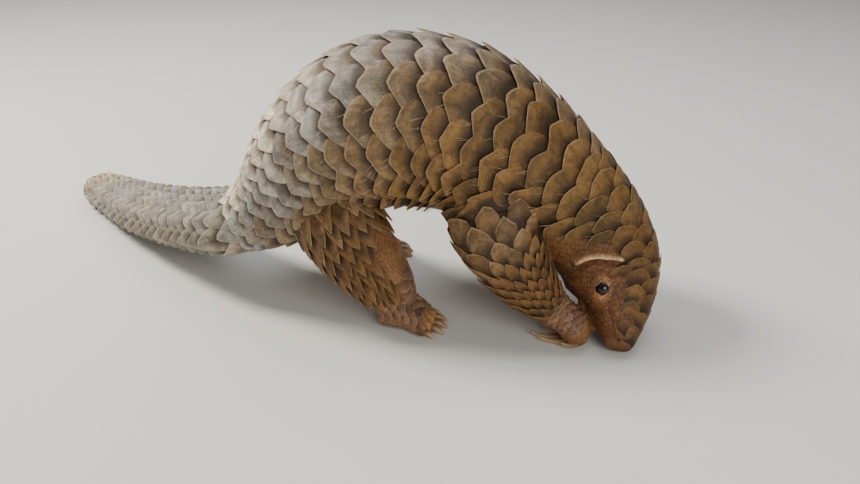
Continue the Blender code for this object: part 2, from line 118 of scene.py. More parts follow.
# The ear's rim from its lobe to its front end: station, turn as for the eye, height
EAR_RIM = ((14.66, 143, 0.0020), (14.66, 157, 0.0042), (14.80, 171, 0.0052), (15.12, 183, 0.0048),
           (15.36, 189, 0.0050), (15.48, 191, 0.0020))

low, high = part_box("right_eye")
SHIFT = np.array((low + high) / 2) - np.array(EYE_CENTRE)

# The lowest places of skin and undersides, of hair, and of the upper sides of scales
SKIN_FLOOR = 0.0002
HAIR_FLOOR = 0.0003
SCALE_FLOOR = 0.0008
DOME_END = 0.96  # how far skin runs into the rounded ends, of the whole dome
TUFT = 0.003  # the width of a scale's or a hair's patch on the OFBake map


def unit(v):
    return v / np.linalg.norm(v, axis=-1, keepdims=True)


def dot(a, b):
    return (a * b).sum(-1)


def smooth(x, low, high):
    """0 below low, 1 above high, and an S between; high may be the smaller of the two."""
    x = np.clip((np.asarray(x, float) - low) / (high - low), 0, 1)
    return x * x * (3 - 2 * x)


def through(pairs, spread=0.0):
    """A function that runs through (place, value) pairs, its corners softened over the spread."""
    at, value = np.array(pairs, float).T
    fine = np.linspace(at[0], at[-1], 800)
    line = np.interp(fine, at, value)
    if spread:
        reach = max(1, int(spread / (fine[1] - fine[0])))
        window = np.hanning(2 * reach + 3)
        window /= window.sum()
        padded = np.concatenate([np.full(reach + 1, line[0]), line, np.full(reach + 1, line[-1])])
        line = np.convolve(padded, window, "valid")
    return lambda x: np.interp(x, fine, line)


class Tube:
    """A body length: an axis through stations, with an oval round it that is read at any station and angle.

    On the spine, angle 0 is the animal's left, 90 degrees its back and 180 its right. On a leg, 0 is +Y.
    """

    def __init__(self, stations, kind, cap=0.0, heading=0.0):
        table = np.array(stations, float)
        if table.shape[1] == 5:
            table = np.hstack([table, table[:, 4:5]])
        self.table = table
        self.last = len(table) - 1
        self.kind = kind
        self.cap = cap
        self.heading = heading
        fine = np.linspace(0, self.last, 1200)
        path = self.values(fine)[:, :3]
        steps = np.linalg.norm(np.diff(path, axis=0), axis=1)
        self.fine, self.run = fine, np.concatenate([[0], np.cumsum(steps)])

    def values(self, t):
        t = np.clip(np.asarray(t, float), 0, self.last)
        i = np.minimum(t.astype(int), self.last - 1)
        f = (t - i)[..., None]
        p0, p1, p2, p3 = (self.table[np.clip(i + k, 0, self.last)] for k in (-1, 0, 1, 2))
        return (2 * p1 + (p2 - p0) * f + (2 * p0 - 5 * p1 + 4 * p2 - p3) * f**2
                + (3 * p1 - p0 - 3 * p2 + p3) * f**3) * 0.5

    def axes(self, t):
        """The way on, the way of angle 0 and the way of angle 90 degrees."""
        t = np.clip(np.asarray(t, float), 0, self.last)
        if self.kind == "foot":
            way = np.array([math.cos(self.heading), math.sin(self.heading), 0.0])
            along = np.broadcast_to(way, t.shape + (3,))
            side = np.broadcast_to(np.array([-way[1], way[0], 0.0]), t.shape + (3,))
            return along, side, np.broadcast_to(np.array([0.0, 0.0, 1.0]), t.shape + (3,))
        along = unit(self.values(t + 0.02)[..., :3] - self.values(t - 0.02)[..., :3])
        if self.kind == "spine":
            upright = np.stack([-along[..., 2], 0 * along[..., 0], along[..., 0]], -1)
            side = unit(np.cross(upright, along))
            return along, side, unit(np.cross(along, side))
        across = np.zeros_like(along)
        across[..., 1] = 1.0
        across = unit(across - along * dot(across, along)[..., None])
        return along, across, np.cross(across, along)

    def radius(self, t, angle):
        v = self.values(t)
        x, z = np.cos(angle), np.sin(angle)
        depth = np.where(z > 0, v[..., 4], v[..., 5])
        return (np.abs(x / v[..., 3]) ** FULLNESS + np.abs(z / depth) ** FULLNESS) ** (-1 / FULLNESS)

    def point(self, t, angle, rise=0.0):
        """A place that stands the rise above the surface. Beyond the last stations a dome closes the end."""
        t, angle, rise = np.broadcast_arrays(np.asarray(t, float), angle, rise)
        over = t - np.clip(t, 0, self.last)
        bend = np.clip(np.abs(over), 0, 1) * math.pi / 2
        along, side, up = self.axes(t)
        r = (self.radius(t, angle) + rise) * np.cos(bend)
        ahead = np.sign(over) * (self.cap + rise) * np.sin(bend)
        return (self.values(t)[..., :3] + along * ahead[..., None]
                + side * (np.cos(angle) * r)[..., None] + up * (np.sin(angle) * r)[..., None])

    def arc(self, t):
        return np.interp(t, self.fine, self.run)

    def at_arc(self, length):
        t = np.interp(length, self.run, self.fine)
        beyond = np.maximum(np.asarray(length) - self.run[-1], 0) + np.minimum(length, 0)
        return t + beyond / max(self.cap, 0.004) * 0.6

    def seen_from(self, points):
        """Station, angle and share of the surface's radius at which points lie."""
        samples = np.linspace(0, self.last, 40 * self.last + 1)
        path = self.values(samples)[:, :3]
        best = np.empty(len(points), int)
        for start in range(0, len(points), 20000):
            part = points[start:start + 20000]
            gap = (part**2).sum(1)[:, None] - 2 * part @ path.T + (path**2).sum(1)[None]
            best[start:start + 20000] = gap.argmin(1)
        t = samples[best]
        along, side, up = self.axes(t)
        out = points - path[best]
        x, z = dot(out, side), dot(out, up)
        angle = np.arctan2(z, x)
        beyond = np.abs(dot(out, along))
        away = np.sqrt(x * x + z * z + beyond * beyond)
        return t, angle, away / self.radius(t, angle)


spine = Tube(SPINE, "spine", NOSE_CAP)
legs = {
    "right_hind": Tube([(*p, *s) for p, s in zip(RIGHT_HIND, HIND_SIZES)], "leg"),
    "left_hind": Tube([(*p, *s) for p, s in zip(LEFT_HIND, HIND_SIZES)], "leg"),
    "right_fore": Tube([(*p, *s) for p, s in zip(RIGHT_FORE, FORE_SIZES)], "leg", KNUCKLE_CAP),
    "left_fore": Tube([(*p, *s) for p, s in zip(LEFT_FORE, FORE_SIZES)], "leg", KNUCKLE_CAP),
}


def hind_foot(ankle, heading):
    ahead = np.array([math.cos(heading), math.sin(heading), 0.0])
    floor = np.array([ankle[0], ankle[1], 0.0])
    stations = [(*(floor + ahead * a + [0, 0, h]), w, d) for a, h, w, d in HIND_FOOT]
    return Tube(stations, "foot", FOOT_CAP, heading)


feet = {"right_hind": hind_foot(RIGHT_HIND[-1], -FOOT_HEADING),
        "left_hind": hind_foot(LEFT_HIND[-1], FOOT_HEADING)}


def outward(side, turn):
    """The tube angle of a leg at a turn from its outer side towards its front, in degrees."""
    turn = np.radians(turn)
    return math.pi + turn if side == "right" else -turn


# Where the coat lies
# Half the coat's spread round the body from the middle of the back, in degrees, by station
coat_edge = through(((-1, 185), (6.3, 185), (7.6, 152), (9, 148), (12.6, 142), (13.2, 118), (14.0, 96),
                     (14.6, 76), (15.3, 78), (15.7, 92), (16.1, 84), (16.9, 82), (17.8, 90), (18.6, 96),
                     (19.2, 40), (19.5, 0)), 0.2)
# How deep the skin lies under the scale tips, by station
coat_depth = through(((-1, 0.0016), (1, 0.0040), (6, 0.0050), (8.5, 0.0052), (13, 0.0050), (14.5, 0.0038),
                      (16, 0.0026), (18, 0.0017), (20, 0.0010)), 0.3)
BARE_DEPTH = 0.0008
LEG_COAT_DEPTH = 0.0032
LEG_BARE_DEPTH = 0.0007
TOE_DEPTH = 0.0003

# The angle of the middle row of scales, and the angle between rows, by station
row_middle = through(((-2, 90), (8, 90), (9.1, 84), (10.2, 90), (11.2, 107), (12.1, 107), (12.6, 104),
                      (13.2, 99), (14.4, 100), (15.2, 98), (16.5, 95), (18, 92), (22, 90)), 0.35)
row_width = through(((-2, 30), (6, 30), (7, 26), (8, 22), (9.1, 20.5), (10, 23), (11.2, 22), (12.1, 25),
                     (12.6, 29), (13.2, 32), (13.6, 31), (14.4, 24), (15.5, 25), (16.7, 31), (17.5, 36),
                     (18.6, 43), (22, 48)), 0.3)

# Rings of scales round the body: ring number, station of the tips
RING_STATIONS = ((-2, 9.40), (-1, 9.70), (0, 9.99), (1, 10.30), (2, 10.59), (3, 10.87), (4, 11.19),
                 (5, 11.51), (6, 11.88), (7, 12.26), (8, 12.64), (9, 13.05), (10, 13.50), (11, 13.92),
                 (12, 14.38), (13, 14.85), (14, 15.40), (15, 16.00), (16, 16.71), (17, 17.52), (18, 18.50),
                 (19, 19.5), (22, 22.5))
FIRST_RING = (-2, 9.40)
LAST_LOIN_RING = -11
LOIN_RING = 0.0155  # length from ring to ring on the rump, and on the tail
TAIL_RING = 0.0172
TAIL_OVERRUN = -0.03  # rings are counted on to this length beyond the tail tip


def ring_table():
    """Ring number against station: measured on the trunk, even steps of length on rump and tail."""
    rings = [q for q, _ in RING_STATIONS]
    stations = [t for _, t in RING_STATIONS]
    q, start = FIRST_RING
    length = float(spine.arc(start))
    while length > TAIL_OVERRUN:
        length -= LOIN_RING if q > LAST_LOIN_RING else TAIL_RING
        q -= 1
        rings.insert(0, q)
        stations.insert(0, float(spine.at_arc(length)))
    return np.array(rings, float), np.array(stations, float)


RINGS, STATIONS = ring_table()


def station_of(q):
    return np.interp(q, RINGS, STATIONS)


def ring_of(t):
    return np.interp(t, STATIONS, RINGS)


def spine_angle(t, k):
    return np.radians(row_middle(t) + k * row_width(t))


def from_back(angle):
    """Degrees from the middle of the back, 0 to 180."""
    return np.abs((np.degrees(angle) - 90 + 180) % 360 - 180)


def spine_coat(t, angle):
    """1 where scales cover the body, 0 on bare skin."""
    return smooth(from_back(angle), coat_edge(t) + 6, coat_edge(t) - 6)


def leg_turn(name, angle):
    """Degrees from a leg's outer side towards its front, -180 to 180."""
    turn = (np.degrees(angle) - 180) if name.startswith("right") else -np.degrees(angle)
    return (turn + 180) % 360 - 180


def leg_coat(name, t, angle):
    """1 where scales cover a leg: its outer side, back and front, but not the inner side, knee and palm."""
    turn = leg_turn(name, angle)
    covered = smooth(np.abs(turn), 122, 108)
    if name.endswith("hind"):
        return covered * (1 - smooth(turn, 32, 44) * smooth(t, 1.8, 2.1))
    return covered * smooth(t, 4.1, 3.8)


def leg_bare(name, t, angle):
    """1 where a leg's skin can be seen between or beside its scales."""
    turn = leg_turn(name, angle)
    open_skin = 1 - leg_coat(name, t, angle)
    if name.endswith("hind"):
        open_skin = np.maximum(open_skin, smooth(turn, 22, 34) * smooth(t, 1.1, 1.5))
        return np.maximum(open_skin, smooth(t, 3.2, 3.6))
    return np.maximum(open_skin, smooth(t, 2.9, 3.4))


def wrap_legs(points):
    """Moves places that lie inside a leg out to its surface, so that scales run on over thigh and arm."""
    flat = points.reshape(-1, 3).copy()
    for tube in legs.values():
        t, angle, share = tube.seen_from(flat)
        inside = (share < 1.0) & (t < 2.4)
        if inside.any():
            pushed = tube.point(t[inside], angle[inside])
            flat[inside] += (pushed - flat[inside]) * smooth(t[inside], 2.4, 2.0)[:, None]
    return flat.reshape(points.shape)


# Meshes
def new_object(name, mesh):
    made = bpy.data.objects.new(name, mesh)
    bpy.context.scene.collection.objects.link(made)
    return made


def quad_mesh(name, verts, quads):
    mesh = bpy.data.meshes.new(name)
    mesh.vertices.add(len(verts))
    mesh.vertices.foreach_set("co", np.ascontiguousarray(verts, np.float32).ravel())
    mesh.loops.add(len(quads) * 4)
    mesh.loops.foreach_set("vertex_index", np.ascontiguousarray(quads, np.int32).ravel())
    mesh.polygons.add(len(quads))
    mesh.polygons.foreach_set("loop_start", np.arange(0, len(quads) * 4, 4, dtype=np.int32))
    mesh.update(calc_edges=True)
    mesh.validate()
    return mesh


def note(mesh, name, values):
    """Keeps one number per corner point on the mesh, for the materials to read."""
    kept = mesh.attributes.new(name, "FLOAT", "POINT")
    kept.data.foreach_set("value", np.ascontiguousarray(values, np.float32).ravel())


def lay_out(mesh, places):
    """The OFBake map, from one place per corner point."""
    corners = np.zeros(len(mesh.loops), np.int32)
    mesh.loops.foreach_get("vertex_index", corners)
    layer = mesh.uv_layers.new(name="OFBake")
    layer.data.foreach_set("uv", np.ascontiguousarray(np.clip(places, 0, 1)[corners], np.float32).ravel())


def grid_quads(rows, columns, closed=False):
    """Quads between the points of a grid, row by row."""
    r, c = np.meshgrid(np.arange(rows - 1), np.arange(columns if closed else columns - 1), indexing="ij")
    n = (c + 1) % columns
    here, below = r * columns, (r + 1) * columns
    return np.stack([here + c, here + n, below + n, below + c], -1).reshape(-1, 4)


def tube_shape(tube, start, end, rings, sides, rise):
    """Points and faces of a closed length of a tube. rise is a function of station and angle."""
    t = np.linspace(start, end, rings)[:, None]
    angle = np.linspace(0, 2 * math.pi, sides, endpoint=False)[None]
    t, angle = np.broadcast_arrays(t, angle)
    points = tube.point(t, angle, rise(t, angle)).reshape(-1, 3)
    faces = grid_quads(rings, sides, closed=True).tolist()
    ends = [list(range(sides))[::-1], list(range((rings - 1) * sides, rings * sides))]
    return points, faces + ends


# The skin
SKIN_GRAIN = 0.0029  # the mesh size of the skin away from head and feet


def evenly(rise):
    """A rise that is the same at every station and angle."""
    return lambda t, angle: rise + 0 * angle


def skin_source():
    """Overlapping closed lengths of body, legs, feet and toes, which the remesh makes into one skin."""
    def under_coat(t, angle):
        covered = spine_coat(t, angle)
        return -(coat_depth(t) * covered + BARE_DEPTH * (1 - covered))

    parts = [tube_shape(spine, -DOME_END, spine.last + DOME_END, 420, 96, under_coat)]
    for name, tube in legs.items():
        def depth(t, angle, name=name):
            covered = leg_coat(name, t, angle)
            return -(LEG_COAT_DEPTH * covered + LEG_BARE_DEPTH * (1 - covered))

        end = tube.last + (DOME_END if tube.cap else 0.0)
        parts.append(tube_shape(tube, 0.0, end, 90, 48, depth))
    for name, tube in feet.items():
        parts.append(tube_shape(tube, -DOME_END, tube.last + DOME_END, 60, 40, evenly(-LEG_BARE_DEPTH)))
        for index in range(TOES):
            root, way = toe_place(name, index)
            reach = TOE_LENGTH * TOE_REACH[index]
            line = [(*(root + way * reach * s), TOE_RADIUS * w, TOE_RADIUS * w) for s, w in TOE_SHAPE]
            toe = Tube(line, "foot", 0.0012, math.atan2(way[1], way[0]))
            parts.append(tube_shape(toe, 0.0, toe.last + 0.9, 24, 20, evenly(-TOE_DEPTH)))
    return parts


def toe_place(name, index):
    """Where a hind toe starts inside the foot and the level way it points."""
    side = name.split("_")[0]
    heading = -FOOT_HEADING if side == "right" else FOOT_HEADING
    ankle = (RIGHT_HIND if side == "right" else LEFT_HIND)[-1]
    place = index - 2
    ahead = np.array([math.cos(heading), math.sin(heading), 0.0])
    across = np.array([-ahead[1], ahead[0], 0.0])
    way = ahead * math.cos(place * TOE_SPLAY) + across * math.sin(place * TOE_SPLAY)
    root = np.array([ankle[0], ankle[1], TOE_RISE]) + ahead * TOE_START + across * place * TOE_SPREAD
    return root, way


def joined(parts):
    verts, faces, start = [], [], 0
    for points, part_faces in parts:
        verts.append(points)
        faces += [[i + start for i in f] for f in part_faces]
        start += len(points)
    mesh = bpy.data.meshes.new("skin_source")
    mesh.from_pydata(np.concatenate(verts).tolist(), [], faces)
    return mesh


def remeshed(mesh, size, smoothing):
    """One closed surface from overlapping lengths."""
    item = new_object("skin_source", mesh)
    step = item.modifiers.new("one_surface", "REMESH")
    step.mode = "VOXEL"
    step.voxel_size = size
    ease = item.modifiers.new("ease", "SMOOTH")
    ease.factor = 0.5
    ease.iterations = smoothing
    graph = bpy.context.evaluated_depsgraph_get()
    made = bpy.data.meshes.new_from_object(item.evaluated_get(graph))
    bpy.data.objects.remove(item, do_unlink=True)
    return made


def points_of(mesh):
    co = np.zeros(len(mesh.vertices) * 3, np.float32)
    mesh.vertices.foreach_get("co", co)
    return co.reshape(-1, 3).astype(float)


def normals_of(mesh):
    n = np.zeros(len(mesh.vertices) * 3, np.float32)
    mesh.vertex_normals.foreach_get("vector", n)
    return n.reshape(-1, 3).astype(float)


def refine(mesh, wanted):
    """Splits the faces whose corner points are wanted, a function of places, into four."""
    chosen = wanted(points_of(mesh))
    bm = bmesh.new()
    bm.from_mesh(mesh)
    bm.verts.ensure_lookup_table()
    edges = [e for e in bm.edges if chosen[e.verts[0].index] and chosen[e.verts[1].index]]
    bmesh.ops.subdivide_edges(bm, edges=edges, cuts=1, use_grid_fill=True, smooth=0.6)
    bm.to_mesh(mesh)
    bm.free()


def on_side(side, turn):
    """The spine angle at a turn from the animal's other side, under the belly and up this side."""
    return -turn if side == "right" else math.pi + turn


def eye_place(side):
    """Centre of the eyeball and the way it looks."""
    t, turn = EYE_AT
    angle = on_side(side, turn)
    here = spine.point(t, angle)
    step = 0.03
    ahead = spine.point(t + step, angle) - here
    round_ = spine.point(t, angle + step) - here
    normal = unit(np.cross(ahead, round_))
    if dot(normal, here - spine.values(t)[:3]) < 0:
        normal = -normal
    return here - normal * (EYE_RADIUS - EYE_PROUD), normal


def ear_line(side):
    """Places along the ear's rim and the rim's height at each."""
    table = np.array(EAR_RIM, float)
    at = np.linspace(0, len(table) - 1, 60)
    t, turn, height = (np.interp(at, np.arange(len(table)), table[:, i]) for i in range(3))
    kernel = np.hanning(9)
    kernel /= kernel.sum()
    t, turn, height = (np.convolve(np.pad(c, 4, "edge"), kernel, "valid") for c in (t, turn, height))
    return spine.point(t, on_side(side, np.radians(turn)), -0.001), height


def lattice(points, size, seed):
    """Soft noise from -1 to 1 with features of the given size."""
    p = points / size
    base = np.floor(p).astype(np.int64)
    f = p - base
    f = f * f * (3 - 2 * f)
    total = np.zeros(len(points))
    for dx in (0, 1):
        for dy in (0, 1):
            for dz in (0, 1):
                c = base + (dx, dy, dz)
                h = (c[:, 0] * 73856093) ^ (c[:, 1] * 19349663) ^ (c[:, 2] * 83492791) ^ (seed * 2654435)
                h = (h ^ (h >> 13)) * 1274126177
                value = ((h ^ (h >> 16)) & 0xFFFF) / 32767.5 - 1
                weight = (f[:, 0] if dx else 1 - f[:, 0]) * (f[:, 1] if dy else 1 - f[:, 1])
                total += value * weight * (f[:, 2] if dz else 1 - f[:, 2])
    return total


# The lids in millimetres: distance from the middle of the eye, height over the hide round it
LID_PROFILE = through(((0, -4.2), (4.5, -3.4), (5.1, 0.2), (5.5, 1.05), (6.5, 1.35), (7.5, 0.75),
                       (8.5, -0.35), (9.6, 0.4), (11.2, -0.2), (13.5, 0.0), (60, 0.0)))
LID_WIDE, LID_HIGH = 1.33, 0.90  # the eye's opening is narrower and higher than a circle
EAR_KNOB = -8  # the place of the knob on the ear's line
NOSTRIL_AT = (20.35, math.radians(150))
NOSTRIL_SIZE = 0.0019
NOSTRIL_DEPTH = 0.0022


def face_detail(points, normals):
    """Moves the skin of the head into lids, ears, nostrils, mouth and folds; returns places and the masks."""
    lid = np.zeros(len(points))
    ear = np.zeros(len(points))
    hollow = np.zeros(len(points))
    t, angle, share = spine.seen_from(points)
    head = smooth(t, 14.0, 14.4) * (share < 1.15)
    moved = points.copy()
    folds = lattice(points * (1, 1, 1.4), 0.006, 3) * 0.0004 + lattice(points, 0.0028, 4) * 0.00018
    bare = 1 - spine_coat(t, angle)
    moved += normals * (folds * head * bare)[:, None]
    for side in ("right", "left"):
        centre, looks = eye_place(side)
        out = points - centre
        height = dot(out, looks)
        flat = out - looks * height[:, None]
        level = unit(np.cross(looks, (0, 0, 1)))
        upward = np.cross(level, looks)
        x, y = dot(flat, level), dot(flat, upward)
        reach = np.hypot(x * LID_WIDE, y * LID_HIGH) * 1000
        near = (height > -0.004) & (reach < 20)
        moved += looks * (LID_PROFILE(reach) * near)[:, None] * 0.001
        wrinkle = np.sin(np.arctan2(y, x) * 23) * 0.00022 * np.exp(-((reach - 10) / 2.6) ** 2)
        moved += looks * (wrinkle * near)[:, None]
        lid = np.maximum(lid, np.exp(-((reach - 7.0) / 3.6) ** 2) * near)

        line, height = ear_line(side)
        nearest = np.full(len(points), 9.0)
        which = np.zeros(len(points), int)
        around = np.where(np.linalg.norm(points - line.mean(0), axis=1) < 0.04)[0]
        gaps = np.linalg.norm(points[around][:, None] - line[None], axis=2)
        which[around] = gaps.argmin(1)
        nearest[around] = gaps.min(1)
        rim = np.exp(-((nearest / 0.0021) ** 2))
        lean = unit(np.array([0.0, 0.0, -1.0]) + 0 * points)
        below = dot(points - line[which], lean)
        shell = np.exp(-((nearest - 0.0048) / 0.0030) ** 2) * smooth(below, -0.0006, 0.0022)
        moved += normals * (rim * height[which] * 0.92 - shell * 0.0022)[:, None]
        moved += lean * (rim * 0.0008)[:, None]
        knob = np.exp(-((np.linalg.norm(points - line[EAR_KNOB], axis=1) / 0.0030) ** 2))
        moved += normals * (knob * 0.0026)[:, None]
        ear = np.maximum(ear, np.maximum(rim * (nearest < 0.02), knob * 0.9))
        # painted shade in the hollow of each ear
        hollow = np.maximum(hollow, shell * (nearest < 0.02))

        nose_t, turn = NOSTRIL_AT
        gap = np.linalg.norm(points - spine.point(nose_t, on_side(side, turn)), axis=1)
        moved -= normals * (np.exp(-((gap / NOSTRIL_SIZE) ** 2)) * NOSTRIL_DEPTH)[:, None]
    slit_angle = from_back(angle)
    slit = np.exp(-(((slit_angle - 132) * np.radians(1) * spine.radius(t, angle)) / 0.0009) ** 2)
    slit *= smooth(t, 17.6, 18.4) * smooth(t, 20.2, 19.8)
    moved -= normals * (slit * 0.0011)[:, None]
    return moved, lid, ear, hollow, slit


def build_skin():
    mesh = remeshed(joined(skin_source()), SKIN_GRAIN, 4)
    eyes = [eye_place(side)[0] for side in ("right", "left")]
    ears = [ear_line(side)[0].mean(0) for side in ("right", "left")]

    def head_and_feet(p):
        t, _, share = spine.seen_from(p)
        return ((t > 14.3) & (share < 1.2)) | feet_and_hands(p)

    def feet_and_hands(p):
        found = np.zeros(len(p), bool)
        for name, tube in legs.items():
            t, _, share = tube.seen_from(p)
            found |= (t > (3.7 if "fore" in name else 4.0)) & (share < 1.6)
        for tube in feet.values():
            t, _, share = tube.seen_from(p)
            found |= (t >= 0) & (share < 1.5) & (p[:, 2] < 0.03)
        return found

    def near(p, centres, reach):
        return np.min([np.linalg.norm(p - centre, axis=1) for centre in centres], axis=0) < reach

    refine(mesh, head_and_feet)
    refine(mesh, lambda p: near(p, eyes, 0.0135) | near(p, ears, 0.0165))
    refine(mesh, lambda p: near(p, eyes, 0.0105))
    points, normals = points_of(mesh), normals_of(mesh)
    moved, lid, ear, hollow, slit = face_detail(points, normals)

    t, angle, share = spine.seen_from(points)
    tail_pad = smooth(np.linalg.norm(points - spine.point(-1.0, 0.0), axis=1), 0.012, 0.007)
    bare = np.maximum(1 - spine_coat(t, angle), tail_pad)
    face = smooth(t, 13.6, 14.6)
    owner = share.copy()
    tone = low_down(t, angle)
    rough = np.zeros(len(points))
    crease = np.zeros(len(points))
    for name, tube in legs.items():
        s, turn, reach = tube.seen_from(points)
        mine = reach < owner
        touching = (reach < 1.35) & (owner < 1.35) & (s > 4.2)
        crease = np.maximum(crease, np.exp(-(((reach - owner) / 0.13) ** 2)) * touching * ("fore" in name))
        own = leg_bare(name, s, turn)
        bare = np.where(mine, own, bare)
        face = np.where(mine, 0, face)
        tone = np.where(mine, 0.9, tone)
        knobbly = smooth(s, 5.2, 6.0) if "fore" in name else smooth(s, 1.6, 2.0) * smooth(s, 3.8, 3.2)
        rough = np.where(mine, knobbly * own, rough)
        owner = np.minimum(owner, reach)
    toe_end = np.zeros(len(points))
    for name, tube in feet.items():
        s, turn, reach = tube.seen_from(points)
        middle, heading = toe_place(name, 2)
        ahead = dot(points - middle, heading)
        across = dot(points - middle, np.array([-heading[1], heading[0], 0.0]))
        here = (np.abs(across) < 0.030) & (ahead > -0.004) & (ahead < 0.030) & (points[:, 2] < 0.024)
        mine = ((reach < 1.35) & (points[:, 2] < 0.033)) | here
        bare = np.where(mine, 1.0, bare)
        face = np.where(mine, 0, face)
        rough = np.where(mine, 0.35, rough)
        beside = across / (TOE_SPREAD + np.clip(ahead, 0, 0.03) * math.tan(TOE_SPLAY))
        groove = np.sin(beside * math.pi) ** 4 * (np.abs(beside) < 2.4) * here * smooth(ahead, 0.001, 0.010)
        moved -= normals * (groove * smooth(normals[:, 2], -0.2, 0.5) * 0.0016)[:, None]
        toe_end = np.maximum(toe_end, here * smooth(ahead, 0.011, 0.018))
    grain = lattice(points, 0.0021, 8) * 0.00035 + lattice(points, 0.0052, 9) * 0.0005
    moved += normals * (grain * rough)[:, None]
    belly = bare * (1 - face) * smooth(from_back(angle), 135, 150) * smooth(t, 6.5, 8) * smooth(t, 14, 13)
    belly = np.maximum(belly, tail_pad)
    moved -= normals * (crease * 0.0016)[:, None]
    # painted shade: the mouth slit and the creases where the forelegs meet the face darken the hide
    hollow = np.maximum(hollow, np.maximum(slit, crease))
    moved[:, 2] = np.maximum(moved[:, 2], SKIN_FLOOR)
    mesh.vertices.foreach_set("co", np.ascontiguousarray(moved + SHIFT, np.float32).ravel())
    masks = {"bare": bare, "face": face, "lid": lid, "ear_rim": ear, "hollow": hollow, "tone": tone,
             "granular": rough, "belly": belly, "toe_end": toe_end}
    for name, values in masks.items():
        note(mesh, name, values)
    mesh.name = "skin"
    mesh.shade_smooth()
    mesh.update()
    skin = new_object("skin", mesh)
    skin.data.materials.clear()
    return skin


# The markings
def low_down(t, angle):
    """The coat's tone: -1 on the rump, made pale as painted sunlight, 0 on the back, whose grey is a painted
    reflection of the sky, 1 on the ochre flank, 2 on the dark neck.
    """
    down = from_back(angle) / np.maximum(coat_edge(t), 60)
    trunk = smooth(down, 0.04, 0.72)
    forward = smooth(t, 9.8, 12.2)
    value = trunk * 0.85 + forward * 0.50 + smooth(t, 14, 16) * 0.1
    # painted sunlight: the rump and the root of the tail are made pale where the sun falls on them
    sunlit_rump = smooth(t, 10.8, 8.0)
    value = np.clip(value, 0, 1) + smooth(t, 12.5, 14.0) * 0.9
    value = value * (1 - sunlit_rump) + (1.3 * trunk - 1.0) * sunlit_rump
    value = value * smooth(t, 6.0, 7.6) + (0.45 * trunk - 1.0) * (1 - smooth(t, 6.0, 7.6))
    tail = smooth(t, 6.6, 6.0)
    value = value * (1 - tail) + (0.10 + 0.30 * trunk - 0.9 * smooth(t, 3.2, 0.6)) * tail
    return np.clip(value, -1, 2)


# Scales, each a plate of points from root to free edge (U) and from side to side (V)
FINE_U = np.array([0, 0.22, 0.42, 0.54, 0.63, 0.70, 0.76, 0.82, 0.87, 0.915, 0.95, 0.975, 0.992, 1.0])
FINE_V = np.array([-1, -0.94, -0.82, -0.64, -0.42, -0.2, 0, 0.2, 0.42, 0.64, 0.82, 0.94, 1])
PLAIN_U = np.array([0, 0.35, 0.6, 0.76, 0.88, 0.95, 0.985, 1.0])
PLAIN_V = np.array([-1, -0.88, -0.5, 0, 0.5, 0.88, 1])
TIP_BLUNTNESS = 0.141  # rounds the point of every scale
GROOVE_DEPTH = 0.00009


